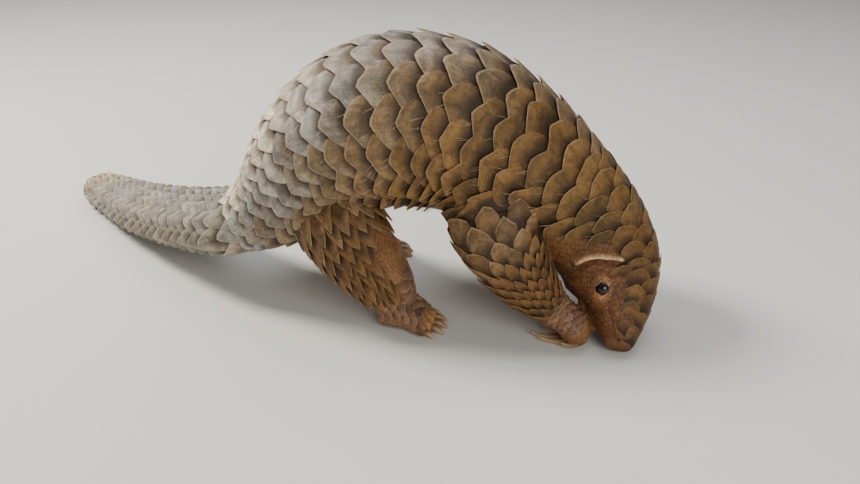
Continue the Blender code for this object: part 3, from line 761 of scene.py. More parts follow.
def scale_field(name, place, seats, fine=True):
    """One piece of many overlapping scales.

    place(q, k, rise, who) gives points. q runs along a row against the way the tips point, k across the rows,
    and who is the number of the scale. seats holds one value per scale: q and k of the tip, length and half
    width in rings and rows, point (how far the free edge runs to a point), keel, depth (of the root), lift
    (of the tip), thick, drop (how far the tip leans across the rows), tone, and u and v, the root's place on
    the unwrap.
    """
    U, V = (FINE_U, FINE_V) if fine else (PLAIN_U, PLAIN_V)
    s = {key: np.asarray(value, float)[:, None, None] for key, value in seats.items()}
    count = len(seats["q"])
    own = chance.random(count)[:, None, None]
    tilt = chance.normal(0, 1, count)[:, None, None]
    edge_jitter = chance.normal(0, 1, (count, 1, 5))
    u, v = U[None, :, None], V[None, None, :]
    ragged = sum(edge_jitter[..., i:i + 1] * np.cos(v * (2.1 + 1.7 * i) + tilt * 3 + i) for i in range(5)) * 0.008
    blunt = (np.sqrt(v * v + 0.02) - TIP_BLUNTNESS) / (1.01 - TIP_BLUNTNESS)
    corner = 0.10 * np.clip((np.abs(v) - 0.78) / 0.22, 0, 1) ** 2
    short = s["point"] * blunt + corner + ragged * smooth(u, 0.5, 1)
    along = u * (1 - short)
    swell = 0.66 + 0.34 * np.sin(np.clip(u / 0.68, 0, 1) * math.pi / 2)
    swell = swell - 0.10 * np.clip((u - 0.78) / 0.22, 0, 1) ** 2
    half = s["half"] * swell * (1 + 0.02 * tilt)
    q = s["q"] + s["length"] * (1 - along) * (1 + 0 * v)
    k = s["k"] + half * v + s["drop"] * (along - 0.5) + 0.035 * tilt * (along - 0.3)
    rise = s["lift"] * along**3 - (s["depth"] + 0.0008) * (1 - along)
    rise = rise + s["thick"] * 0.55 * (1 - v * v) * smooth(u, 0.0, 0.5) - s["thick"] * 0.3
    ridge = np.exp(-((v / 0.10) ** 2)) * s["keel"] * smooth(u, 0.2, 0.6) * (1 - 0.5 * smooth(u, 0.9, 1.0))
    grooves = GROOVE_DEPTH * np.sin(along * s["length"] * 26 + own * 9)
    grooves = grooves * smooth(u, 0.4, 0.6) * smooth(u, 1.0, 0.9)
    edge = np.minimum(1, np.minimum(smooth(u, 1.0, 0.90), smooth(np.abs(v), 1.0, 0.86)) + 0.25)
    top_rise = rise + ridge + grooves + s["thick"] * 0.5 * edge
    bottom_rise = rise - s["thick"] * 0.5 * edge
    who = np.broadcast_to(np.arange(count)[:, None, None], q.shape)
    top = place(q, k, top_rise, who)
    bottom = place(q, k, bottom_rise, who)
    rows, columns = len(U), len(V)
    each = rows * columns
    points = np.stack([top.reshape(count, each, 3), bottom.reshape(count, each, 3)], 1)
    points[:, 0, :, 2] = np.maximum(points[:, 0, :, 2], SCALE_FLOOR)
    points[:, 1, :, 2] = np.maximum(points[:, 1, :, 2], SKIN_FLOOR)
    face = grid_quads(rows, columns)
    index = np.arange(each).reshape(rows, columns)
    loop = np.concatenate([index[0, :-1], index[:-1, -1], index[-1, :0:-1], index[:0:-1, 0]])
    after = np.roll(loop, -1)
    rim = np.stack([loop, after, after + each, loop + each], -1)
    one = np.concatenate([face[:, ::-1], face + each, rim])
    quads = (one[None] + np.arange(count)[:, None, None] * each * 2).reshape(-1, 4)
    verts = points.reshape(-1, 3)
    a = verts[one[0]]
    normal = np.cross(a[1] - a[0], a[2] - a[1])
    if dot(normal, verts[0] - verts[each]) < 0:
        quads = quads[:, ::-1]
    mesh = quad_mesh(name, verts + SHIFT, quads)

    def both(values):
        flat = np.broadcast_to(values, (count, rows, columns)).reshape(count, 1, each)
        return np.repeat(flat, 2, axis=1).ravel()

    note(mesh, "grown", both(along / (1 - s["point"] * blunt - corner) * (1 + 0 * v)))
    note(mesh, "from_edge", both(1 - along / np.maximum(1 - short, 0.2) + 0 * v))
    note(mesh, "aside", both(v + 0 * u))
    note(mesh, "own", both(own + 0 * u + 0 * v))
    note(mesh, "tone", both(s["tone"] + 0 * u + 0 * v))
    across = both(s["u"] + TUFT * 0.5 * v + 0 * u)
    down = both(s["v"] + TUFT * (along - 0.5))
    lay_out(mesh, np.stack([across, down], -1))
    mesh.shade_smooth()
    mesh.set_sharp_from_angle(angle=math.radians(48))
    return new_object(name, mesh)


def spine_place(q, k, rise, who):
    t = station_of(q)
    return spine.point(t, spine_angle(t, k), rise)


def trunk_place(q, k, rise, who):
    """As on the spine, but carried out over the bulge of thigh and upper arm."""
    t = station_of(q)
    angle = spine_angle(t, k)
    flush = spine.point(t, angle, 0.0)
    wrapped = wrap_legs(flush)
    return spine.point(t, angle, rise) + (wrapped - flush)


# How far a row's tips stand ahead of the middle rings, by rows from the middle
SLANT = through(((0, 0.71), (1, 0.355), (2, 0.0), (3, -0.355), (9, -0.355)))
MOST_ROWS = 7  # on either side of the middle row
TAIL_END = -0.97  # the station of the last scales on the tail's rounded end
MOST_CARRIED = 0.019  # scales pushed out further than this by a leg are left to the leg's own scales


def body_seats(first, last):
    """Ring, row, station, angle and degrees from the back of each scale's tip between two stations."""
    seats = []
    for q in np.arange(ring_of(first) - 2, ring_of(last) + 2, 1.0).round():
        for k in range(-MOST_ROWS, MOST_ROWS + 1):
            near = float(station_of(q))
            if near < 6.0 and (k < -5 or k > 6):
                continue
            slanted = float(SLANT(abs(k)) * smooth(near, 8.4, 9.6) * smooth(near, 13.4, 12.0))
            tip = q + 0.5 * (k % 2) + slanted
            t = float(station_of(tip))
            if not first <= t < last:
                continue
            angle = float(spine_angle(t, k))
            side = float(from_back(angle))
            if t > 6.0 and side > coat_edge(t) - 1:
                continue
            seats.append((tip, k, t, angle, side))
    if first < 0:
        for k in range(-5, 7, 2):
            angle = float(spine_angle(TAIL_END, k))
            seats.append((float(ring_of(TAIL_END)), k, TAIL_END, angle, float(from_back(angle))))
    return np.array(seats).T


def along_unwrap(t):
    """A station's place on the long side of the OFBake map."""
    return spine.arc(t) / spine.run[-1] * 0.97 + 0.01


def carried_out(q, k):
    """How far the tips and middles of scales are pushed out by the legs."""
    most = np.zeros(len(q))
    for ahead in (0.0, 0.7):
        t = station_of(q + ahead)
        flush = spine.point(t, spine_angle(t, k), 0.0)
        most = np.maximum(most, np.linalg.norm(wrap_legs(flush) - flush, axis=1))
    return most


def body_scales(name, first, last):
    """The scales of the spine's surface whose tips lie between two stations."""
    q, k, t, angle, side = body_seats(first, last)
    kept = carried_out(q, k) < MOST_CARRIED
    q, k, t, angle, side = (x[kept] for x in (q, k, t, angle, side))
    low_row = smooth(side, 84, 118) * smooth(t, 8.0, 8.8) * smooth(t, 13.9, 13.0)
    neck = smooth(t, 12.2, 13.4)
    tail = smooth(t, 6.6, 5.4)
    head = smooth(t, 15.5, 17.5)
    nape = smooth(t, 13.6, 15.2)
    tip = t < -0.9
    edge_row = np.exp(-(((side - 98) / 20) ** 2))
    count = len(q)
    lean = low_row * smooth(t, 13, 11.5)
    seats = {
        "q": q + chance.normal(0, 0.03, count),
        "k": k + chance.normal(0, 0.025, count),
        "length": 2.0 + 0.25 * tail - 0.1 * head + chance.normal(0, 0.04, count),
        "half": 0.86 - 0.16 * low_row + 0.02 * tail - 0.04 * head + 0.45 * tip,
        "point": (0.31 + 0.16 * low_row - 0.11 * neck + (0.08 + 0.18 * edge_row) * tail) * (1 - 0.94 * tip),
        "keel": 0.0009 * low_row + 0.0010 * tail,
        "depth": coat_depth(t),
        "lift": (0.0003 + 0.0013 * low_row + (0.0008 + 0.0014 * edge_row) * tail - 0.0006 * nape
                 + np.abs(chance.normal(0, 0.0004, count)) * (1 - nape)),
        "thick": 0.0014 - 0.0002 * low_row + 0.0002 * tail - 0.0005 * nape,
        "drop": np.sign(k) * (0.30 * low_row + 0.28 * lean * smooth(side, 105, 130)),
        "tone": low_down(t, angle),
        "u": along_unwrap(station_of(q + 2)),
        "v": (np.degrees(angle) % 360) / 360 * 0.98 + 0.01,
    }
    place = trunk_place if first > 6 and last < 14.6 else spine_place
    return scale_field(name, place, seats)


# Foreleg scales get smaller down the limb: row height, angle between columns, by length along the limb
FORE_ROW = through(((0, 0.026), (0.028, 0.0235), (0.045, 0.0170), (0.060, 0.0128), (0.080, 0.0108),
                    (0.13, 0.0100)), 0.004)
FORE_COLUMN = through(((0, 26), (0.028, 25), (0.045, 22), (0.060, 19), (0.080, 18), (0.13, 18)), 0.004)
HIND_ROW = 0.0150
HIND_COLUMN = 21.0
# Where a leg's own scales start and end, by length along the limb, and how far inside the trunk they start
FORE_REACH = (0.001, 0.106)
HIND_REACH = (0.029, 0.114)
FORE_SUNK = 0.84
HIND_SUNK = 0.965


def fore_rows():
    """Lengths along a foreleg at which the rows of scales end."""
    rows = [-0.012]
    while rows[-1] < 0.14:
        rows.append(rows[-1] + float(FORE_ROW(rows[-1])))
    return np.array(rows)


FORE_ROWS = fore_rows()


def along_leg(end, q):
    """Length along a leg at a row number: down the foreleg, and up the hind leg as a negative number."""
    return -q * HIND_ROW if end == "hind" else np.interp(q, np.arange(len(FORE_ROWS)), FORE_ROWS)


def over_trunk(points, rise):
    """Carries places of a leg that lie inside the trunk out over its scales."""
    flat = points.reshape(-1, 3).copy()
    t, angle, share = spine.seen_from(flat)
    inside = share < 1.02
    pushed = spine.point(t[inside], angle[inside], 0.0006 + rise.reshape(-1)[inside])
    flat[inside] = pushed
    return flat.reshape(points.shape)


def seats_from(found):
    """The dictionary that scale_field takes, and each scale's limb, from one dictionary per scale."""
    seats = {key: np.array([each[key] for each in found], float) for key in found[0]}
    return seats, seats.pop("limb").astype(int)


def leg_scales(name, leg_names):
    """Long kite scales down the hind legs, and broad scales on the arm with small lozenges below it."""
    found = []
    for number, leg_name in enumerate(leg_names):
        tube = legs[leg_name]
        side, end = leg_name.split("_")
        hind = end == "hind"
        first, last = HIND_REACH if hind else FORE_REACH
        rows = np.arange(-8, -1) if hind else np.arange(1, len(FORE_ROWS))
        for row in rows:
            for k in range(-MOST_ROWS, MOST_ROWS + 1):
                q = row + 0.5 * (k % 2)
                run = float(along_leg(end, q))
                if not first < run < last:
                    continue
                s = float(tube.at_arc(run))
                turn = k * (HIND_COLUMN if hind else float(FORE_COLUMN(run)))
                angle = float(outward(side, turn))
                if abs(turn) > 125 or leg_coat(leg_name, np.array(s), np.array(angle)) < 0.5:
                    continue
                share = spine.seen_from(tube.point(s, angle, 0.0)[None])[2][0]
                if share < (HIND_SUNK if hind else FORE_SUNK):
                    continue
                broad = 0.0 if hind else float(smooth(run, 0.060, 0.035))
                low = float(smooth(run, 0.03, 0.075))
                found.append({
                    "q": q,
                    "k": k,
                    "length": 2.3 if hind else 2.1 - 0.3 * broad,
                    "half": 0.74 if hind else 0.74 + 0.18 * broad,
                    "point": 0.46 if hind else 0.32 - 0.14 * broad,
                    "keel": 0.0008 if hind else 0.0005,
                    "depth": 0.0034,
                    "lift": 0.0012 if hind else 0.0005,
                    "thick": 0.0011,
                    "drop": 0.0 if hind else -0.45 + 0.15 * broad,
                    "tone": 0.35 + 0.6 * low if hind else 0.22 + 0.7 * low,
                    "u": (number % 2) * 0.5 + 0.02 + 0.45 * s / tube.last,
                    "v": (number // 2) * 0.5 + 0.02 + 0.45 * (turn + 130) / 260,
                    "limb": number,
                })
    seats, which = seats_from(found)
    seats["k"] = seats["k"] + chance.normal(0, 0.05, len(which))
    seats["q"] = seats["q"] + chance.normal(0, 0.05, len(which))
    seats["half"] = seats["half"] * (1 + chance.normal(0, 0.05, len(which)))

    def place(q, k, rise, who):
        points = np.zeros(q.shape + (3,))
        for number, leg_name in enumerate(leg_names):
            mine = which[who] == number
            tube = legs[leg_name]
            side, end = leg_name.split("_")
            run = along_leg(end, q[mine])
            column = HIND_COLUMN if end == "hind" else FORE_COLUMN(run)
            s = tube.at_arc(np.clip(run, 0, tube.run[-1]))
            here = tube.point(s, outward(side, k[mine] * column), rise[mine])
            points[mine] = here if end == "hind" else over_trunk(here, rise[mine])
        return points

    return scale_field(name, place, seats, fine=False)


def laid_on(skin):
    """A function that lays places on the skin and raises them from it."""
    mesh = skin.data
    tree = BVHTree.FromPolygons([v.co for v in mesh.vertices], [tuple(p.vertices) for p in mesh.polygons])
    normals = normals_of(mesh)

    def lay(points, rise):
        made = np.empty_like(points)
        for i, place in enumerate(points + SHIFT):
            spot, _, face, _ = tree.find_nearest(Vector(place))
            made[i] = np.array(spot) + unit(normals[list(mesh.polygons[face].vertices)].mean(0)) * rise[i]
        return made - SHIFT

    return lay


def foot_plates(name, skin):
    """Rounded plates on the backs of the hands, the shins and the hind feet, free edges towards the toes."""
    found = []
    limbs = []  # tube, ring length, row width, middle angle, first and last length, rows on a side
    for side in ("right", "left"):
        hand, shin, foot = legs[side + "_fore"], legs[side + "_hind"], feet[side + "_hind"]
        front = float(outward(side, 75))
        way = 1 if side == "right" else -1
        limbs += [(hand, 0.0054, 24.0 * way, front, float(hand.arc(3.75)), float(hand.arc(6.1)), 4),
                  (shin, 0.0092, 25.0 * way, front, float(shin.arc(3.15)), float(shin.run[-1]) - 0.006, 1),
                  (foot, 0.0084, 27.0, math.pi / 2, 0.010, float(foot.run[-1]) + 0.006, 3)]
    for number, (tube, ring, width, middle, start, stop, most) in enumerate(limbs):
        for step in range(int((stop - start) / ring) + 1):
            for k in range(-most, most + 1):
                run = start + (step + 0.5 * (k % 2)) * ring
                if run > stop or (abs(k) == 4 and run > start + 0.75 * (stop - start)):
                    continue
                found.append({
                    "q": -run / ring,
                    "k": k,
                    "length": 2.1,
                    "half": 0.82,
                    "point": 0.22,
                    "keel": 0.0,
                    "depth": 0.0010,
                    "lift": 0.0005,
                    "thick": 0.0008,
                    "drop": 0.0,
                    "tone": 1.0,
                    "u": (number % 3) * 0.33 + 0.02 + 0.28 * run / 0.14,
                    "v": (number // 3) * 0.5 + 0.02 + 0.45 * (k + 4) / 8,
                    "limb": number,
                })
    seats, which = seats_from(found)
    seats["k"] = seats["k"] + chance.normal(0, 0.05, len(which))
    seats["half"] = seats["half"] * (1 + chance.normal(0, 0.05, len(which)))
    lay = laid_on(skin)

    def place(q, k, rise, who):
        points = np.zeros(q.shape + (3,))
        for number, (tube, ring, width, middle, _, _, _) in enumerate(limbs):
            mine = which[who] == number
            run = -q[mine] * ring
            s = tube.at_arc(np.clip(run, 0, tube.run[-1]))
            over = tube.point(s, middle + np.radians(k[mine] * width), 0.001)
            over = over + tube.axes(s)[0] * np.clip(run - tube.run[-1], 0, 0.01)[:, None]
            points[mine] = lay(over, rise[mine] + 0.0003)
        return points

    return scale_field(name, place, seats, fine=False)


# Hair
def hairs(name, roots, ways, lengths, radius, droop, places):
    """Joined tapered hairs. Each leaves its root on its way and bends by the droop towards the ground."""
    steps, sides = 5, 3
    count = len(roots)
    share = np.linspace(0, 1, steps)
    path = [roots]
    way = unit(ways)
    for _ in share[1:]:
        way = unit(way + droop[:, None] * np.array([0, 0, -1.0]) / steps)
        path.append(path[-1] + way * (lengths / (steps - 1))[:, None])
    path = np.stack(path, 1)
    ahead = unit(path[:, -1] - path[:, 0])
    one = unit(np.cross(ahead, np.array([0.31, 0.52, 0.79])))
    two = np.cross(ahead, one)
    turn = (np.arange(sides) * 2 * math.pi / sides)[None, None, :, None]
    thick = radius[:, None] * (1 - 0.8 * share**1.5)[None]
    offset = one[:, None, None] * np.cos(turn) + two[:, None, None] * np.sin(turn)
    verts = path[:, :, None] + offset * thick[:, :, None, None]
    verts[..., 2] = np.maximum(verts[..., 2], HAIR_FLOOR)
    each = steps * sides
    body = grid_quads(steps, sides, closed=True)
    quads = (body[None] + np.arange(count)[:, None, None] * each).reshape(-1, 4)
    first = np.arange(count)[:, None] * each
    mesh = bpy.data.meshes.new(name)
    caps = np.concatenate([first + [2, 1, 0], first + [each - 3, each - 2, each - 1]])
    mesh.from_pydata((verts.reshape(-1, 3) + SHIFT).tolist(), [], quads.tolist() + caps.tolist())
    mesh.update()
    spread = np.repeat(places, each, axis=0)
    local = np.tile(np.stack([np.repeat(share, sides), np.tile(np.arange(sides) / 2, steps)], -1), (count, 1))
    lay_out(mesh, spread + (local - 0.5) * TUFT)
    note(mesh, "grown", np.tile(np.repeat(share, sides), count))
    mesh.shade_smooth()
    return new_object(name, mesh)


def hair_patch(t, angle):
    """Where a hair's root lies on the OFBake map."""
    return np.stack([along_unwrap(t), (np.degrees(angle) % 360) / 360], -1)


def build_bristles():
    """Two or three stiff hairs from under the free edge of flank and shoulder scales."""
    q, k, t, angle, side = body_seats(8.6, 14.2)
    wanted = (side > 52) & (side < 135) & (carried_out(q, k) < 0.012)
    q, k, t, angle, side = (x[wanted] for x in (q, k, t, angle, side))
    roots, ways, lengths, places = [], [], [], []
    for _ in range(3):
        drawn = chance.random(len(q)) < 0.62
        shift = chance.uniform(-0.42, 0.42, len(q))
        root_q = q + 0.18 + chance.uniform(0, 0.1, len(q))
        root = trunk_place(root_q, k + shift, np.full(len(q), -0.0022), None)
        tip = trunk_place(q - 0.45, k + shift * 1.25 + np.sign(k) * 0.22, np.full(len(q), 0.0022), None)
        roots.append(root[drawn])
        ways.append((tip - root)[drawn])
        lengths.append(chance.uniform(0.009, 0.0155, len(q))[drawn])
        places.append(hair_patch(station_of(root_q), angle)[drawn])
    roots, ways, lengths, places = (np.concatenate(x) for x in (roots, ways, lengths, places))
    return hairs("bristles", roots, ways + chance.normal(0, 0.0015, ways.shape), lengths,
                 np.full(len(roots), 0.00019), np.full(len(roots), 0.2), places)


def build_belly_hair():
    """Thin short hair on belly, throat, cheeks and the inner legs."""
    count = 1500
    t = chance.uniform(7.4, 19.0, count)
    turn = chance.uniform(-1, 1, count)
    edge = coat_edge(t) + 6
    side = edge + (180 - edge) * (1 - np.abs(turn))
    angle = np.radians(90 + np.sign(turn) * side)
    root = spine.point(t, angle, -0.0012)
    away = spine.point(t - 0.10, angle, 0.0016) - root
    length = 0.0055 + 0.004 * smooth(t, 14.5, 12.5) * chance.random(count)
    length = np.where(t > 14.5, 0.0022 + 0.002 * chance.random(count), length)
    keep = (t < 12.8) | (chance.random(count) < 0.5)
    for side_name in ("right", "left"):
        keep &= np.linalg.norm(root - eye_place(side_name)[0], axis=1) > 0.013
    places = hair_patch(t, angle)
    away = unit(away) + chance.normal(0, 0.28, away.shape)
    thin = np.where(t > 12.8, 0.00005, 0.00009)
    return hairs("belly_hair", root[keep], away[keep], length[keep], thin[keep], np.full(keep.sum(), 0.2),
                 places[keep])


# Claws and eyes
CLAW_WIDTHS = (0.0026, 0.0034, 0.0037, 0.0034, 0.0026)  # half widths at the root
HIND_CLAW_LENGTH = 0.0130
HIND_CLAW_DIPS = (0.0, math.radians(52))  # below level at the root and at the tip
HIND_CLAW_BREADTH = 1.1  # of the half widths
HIND_CLAW_START = 0.0003  # beyond the toe's end
HIND_CLAW_SUNK = 0.004  # how far the root runs back into the toe
HIND_CLAW_BLUNT = 0.30  # the tip's size, of the root's
FORE_CLAW_LENGTHS = (0.016, 0.038, 0.046, 0.036, 0.015)
FORE_CLAW_DIPS = (math.radians(34), math.radians(-24))
FORE_CLAW_SPREAD = 0.0078
FORE_CLAW_RISE = 0.0058  # the root's height over the floor, beyond its half width
FORE_CLAW_BLUNT = 0.2
PALM, KNUCKLES = 5, 6.35  # stations of the foreleg


def claw_shape(root, way, dips, length, half_width, sunk, blunt):
    """A horn claw on an arc, ridged along the top and hollowed a little below."""
    rings, sides = 22, 16
    up = np.array([0.0, 0.0, 1.0])
    flank = unit(np.cross(up, way))
    place = np.array(root, float)
    verts, shares = [], []
    angle = np.arange(sides) * 2 * math.pi / sides
    for i in range(rings):
        share = i / (rings - 1)
        dip = dips[0] + (dips[1] - dips[0]) * share
        aim = way * math.cos(dip) - up * math.sin(dip)
        lift = unit(np.cross(flank, aim))
        size = half_width * (blunt + (1 - blunt) * (1 - share**2.3))
        if i == 0:
            place = place - aim * sunk
        over = np.where(np.sin(angle) > 0, 1.05, 0.80)
        pinch = 1 + 0.10 * np.exp(-((angle - math.pi / 2) / 0.35) ** 2)
        wide = (np.cos(angle) * size)[:, None]
        high = (np.sin(angle) * size * over * pinch)[:, None]
        verts.append(place + flank * wide + lift * high)
        shares += [share] * sides
        place = place + aim * ((length + sunk) / (rings - 1))
    points = np.concatenate(verts)
    points[:, 2] = np.maximum(points[:, 2], SKIN_FLOOR)
    faces = grid_quads(rings, sides, closed=True).tolist()
    ends = [list(range(sides)), list(range((rings - 1) * sides, rings * sides))[::-1]]
    return points, [f[::-1] for f in faces] + ends, shares


def claw_piece(name, shapes):
    verts, faces, grown, start = [], [], [], 0
    for points, part_faces, shares in shapes:
        verts.append(points)
        faces += [[i + start for i in f] for f in part_faces]
        grown += shares
        start += len(points)
    mesh = bpy.data.meshes.new(name)
    mesh.from_pydata((np.concatenate(verts) + SHIFT).tolist(), [], faces)
    mesh.update()
    bm = bmesh.new()
    bm.from_mesh(mesh)
    bmesh.ops.recalc_face_normals(bm, faces=bm.faces)
    bm.to_mesh(mesh)
    bm.free()
    note(mesh, "grown", grown)
    mesh.shade_smooth()
    return new_object(name, mesh)


def hind_claws(side):
    """Short blunt claws at the ends of the toes."""
    shapes = []
    for index in range(TOES):
        root, way = toe_place(side + "_hind", index)
        start = root + way * (TOE_LENGTH * TOE_REACH[index] + HIND_CLAW_START)
        shapes.append(claw_shape(start, way, HIND_CLAW_DIPS, HIND_CLAW_LENGTH * TOE_REACH[index],
                                 CLAW_WIDTHS[index] * HIND_CLAW_BREADTH, HIND_CLAW_SUNK, HIND_CLAW_BLUNT))
    return shapes


def fore_claws(side):
    """Long claws curled back under the knuckles."""
    tube = legs[side + "_fore"]
    palm, knuckle = tube.values(PALM)[:3], tube.values(KNUCKLES)[:3]
    way = palm - knuckle
    way[2] = 0
    way = unit(way)
    across = np.array([way[1], -way[0], 0.0])
    shapes = []
    for index in range(TOES):
        middle = np.array([knuckle[0], knuckle[1], CLAW_WIDTHS[index] + FORE_CLAW_RISE])
        start = middle + across * (index - 2) * FORE_CLAW_SPREAD
        shapes.append(claw_shape(start, way, FORE_CLAW_DIPS, FORE_CLAW_LENGTHS[index], CLAW_WIDTHS[index],
                                 0.0, FORE_CLAW_BLUNT))
    return shapes


def build_claws():
    made = []
    for side in ("right", "left"):
        for end, shapes in (("hind", hind_claws(side)), ("fore", fore_claws(side))):
            piece = claw_piece(f"{side}_{end}_claws", shapes)
            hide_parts(*[f"{side}_{end}_claw_{index + 1}" for index in range(TOES)])
            made.append(piece)
    return made


def build_eyes():
    made = []
    for side in ("right", "left"):
        centre, looks = eye_place(side)
        bm = bmesh.new()
        bmesh.ops.create_uvsphere(bm, u_segments=48, v_segments=32, radius=EYE_RADIUS)
        turn = Vector(looks).to_track_quat("Z", "Y").to_matrix()
        pole = []
        for v in bm.verts:
            share = v.co.z / EYE_RADIUS
            pole.append(share)
            v.co *= 1 + 0.02 * float(smooth(share, 0.72, 1.0))
            v.co = turn @ v.co
        mesh = bpy.data.meshes.new(side + "_eyeball")
        bm.to_mesh(mesh)
        bm.free()
        note(mesh, "pole", pole)
        mesh.shade_smooth()
        ball = new_object(side + "_eyeball", mesh)
        ball.location = Vector(centre + SHIFT)
        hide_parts(side + "_eye")
        made.append(ball)
    return made


# Materials
def socket_in(tree, name, kind, value):
    tree.interface.new_socket(name=name, in_out="INPUT", socket_type=kind).default_value = value


def socket_out(tree, name, kind):
    return tree.interface.new_socket(name=name, in_out="OUTPUT", socket_type=kind)


class Bench:
    """Places and joins the nodes of one material or group."""

    def __init__(self, tree):
        self.tree = tree
        self.column = 0

    def node(self, kind, **settings):
        made = self.tree.nodes.new(kind)
        made.location = (self.column * 180, -60 * (self.column % 5))
        self.column += 1
        for key, value in settings.items():
            setattr(made, key, value)
        return made

    def join(self, source, target):
        self.tree.links.new(source, target)

    def feed(self, target, value):
        if isinstance(value, bpy.types.NodeSocket):
            self.join(value, target)
        elif value is not None:
            target.default_value = value

    def math(self, operation, a, b=None, clamp=False):
        made = self.node("ShaderNodeMath", operation=operation, use_clamp=clamp)
        self.feed(made.inputs[0], a)
        if b is not None:
            self.feed(made.inputs[1], b)
        return made.outputs[0]

    def blend(self, share, a, b, how="MIX"):
        made = self.node("ShaderNodeMix", data_type="RGBA", blend_type=how)
        self.feed(made.inputs["Factor"], share)
        self.feed(made.inputs["A"], a)
        self.feed(made.inputs["B"], b)
        return made.outputs["Result"]

    def span(self, value, low, high, to_low=0.0, to_high=1.0):
        made = self.node("ShaderNodeMapRange", interpolation_type="SMOOTHSTEP")
        self.feed(made.inputs["Value"], value)
        made.inputs["From Min"].default_value = low
        made.inputs["From Max"].default_value = high
        self.feed(made.inputs["To Min"], to_low)
        self.feed(made.inputs["To Max"], to_high)
        return made.outputs["Result"]

    def noise(self, scale, detail=4.0, rough=0.55, at=None, distortion=0.0):
        made = self.node("ShaderNodeTexNoise")
        made.inputs["Scale"].default_value = scale
        made.inputs["Detail"].default_value = detail
        made.inputs["Roughness"].default_value = rough
        made.inputs["Distortion"].default_value = distortion
        if at is not None:
            self.join(at, made.inputs["Vector"])
        return made.outputs["Fac"]

    def kept(self, name):
        return self.node("ShaderNodeAttribute", attribute_type="GEOMETRY", attribute_name=name).outputs["Fac"]

    def place(self):
        return self.node("ShaderNodeTexCoord").outputs["Object"]


def rgb(r, g, b):
    return (r, g, b, 1.0)


def soil_group():
    """Dry earth rubbed into the coat: patches of ochre dust and fine dark specks."""
    tree = bpy.data.node_groups.new("rubbed_in_soil", "ShaderNodeTree")
    socket_in(tree, "Colour", "NodeSocketColor", rgb(0.2, 0.15, 0.1))
    socket_in(tree, "Roughness", "NodeSocketFloat", 0.5)
    socket_in(tree, "Amount", "NodeSocketFloat", 0.5)
    socket_in(tree, "Dust", "NodeSocketColor", rgb(0.36, 0.21, 0.10))
    socket_out(tree, "Colour", "NodeSocketColor")
    socket_out(tree, "Roughness", "NodeSocketFloat")
    socket_out(tree, "Height", "NodeSocketFloat")
    b = Bench(tree)
    given = b.node("NodeGroupInput")
    at = b.place()
    patches = b.span(b.noise(26, 5, 0.6, at, 0.4), 0.47, 0.66)
    crumbs = b.span(b.noise(420, 3, 0.6, at), 0.50, 0.68)
    fine_specks = b.span(b.noise(620, 3, 0.6, at), 0.53, 0.66)
    specks = b.math("MULTIPLY", fine_specks, b.span(b.noise(45, 3, 0.6, at), 0.36, 0.60))
    share = b.math("MULTIPLY", patches, given.outputs["Amount"])
    grit = b.math("MULTIPLY", share, b.math("ADD", b.math("MULTIPLY", crumbs, 0.65), 0.25))
    dusty = b.blend(grit, given.outputs["Colour"], given.outputs["Dust"])
    dark = b.math("MULTIPLY", specks, b.math("MULTIPLY", given.outputs["Amount"], 0.95))
    speckled = b.blend(dark, dusty, rgb(0.028, 0.017, 0.010))
    made = b.node("NodeGroupOutput")
    b.join(speckled, made.inputs["Colour"])
    rougher = b.math("ADD", given.outputs["Roughness"], b.math("MULTIPLY", grit, 0.3), clamp=True)
    b.join(rougher, made.inputs["Roughness"])
    b.join(b.math("ADD", b.math("MULTIPLY", grit, 0.6), b.math("MULTIPLY", dark, 0.3)), made.inputs["Height"])
    return tree


# The horn's zones: the pale rump, painted sunlight on the body; the grey back, a painted reflection of the
# sky; the middle, the ochre flank and the dark neck; the pale free edge, a painted highlight; the dark root,
# painted shade
HORN_ZONES = ("Pale", "Back_sheen", "Middle", "Flank", "Deep", "Edge_highlight", "Root_shade")


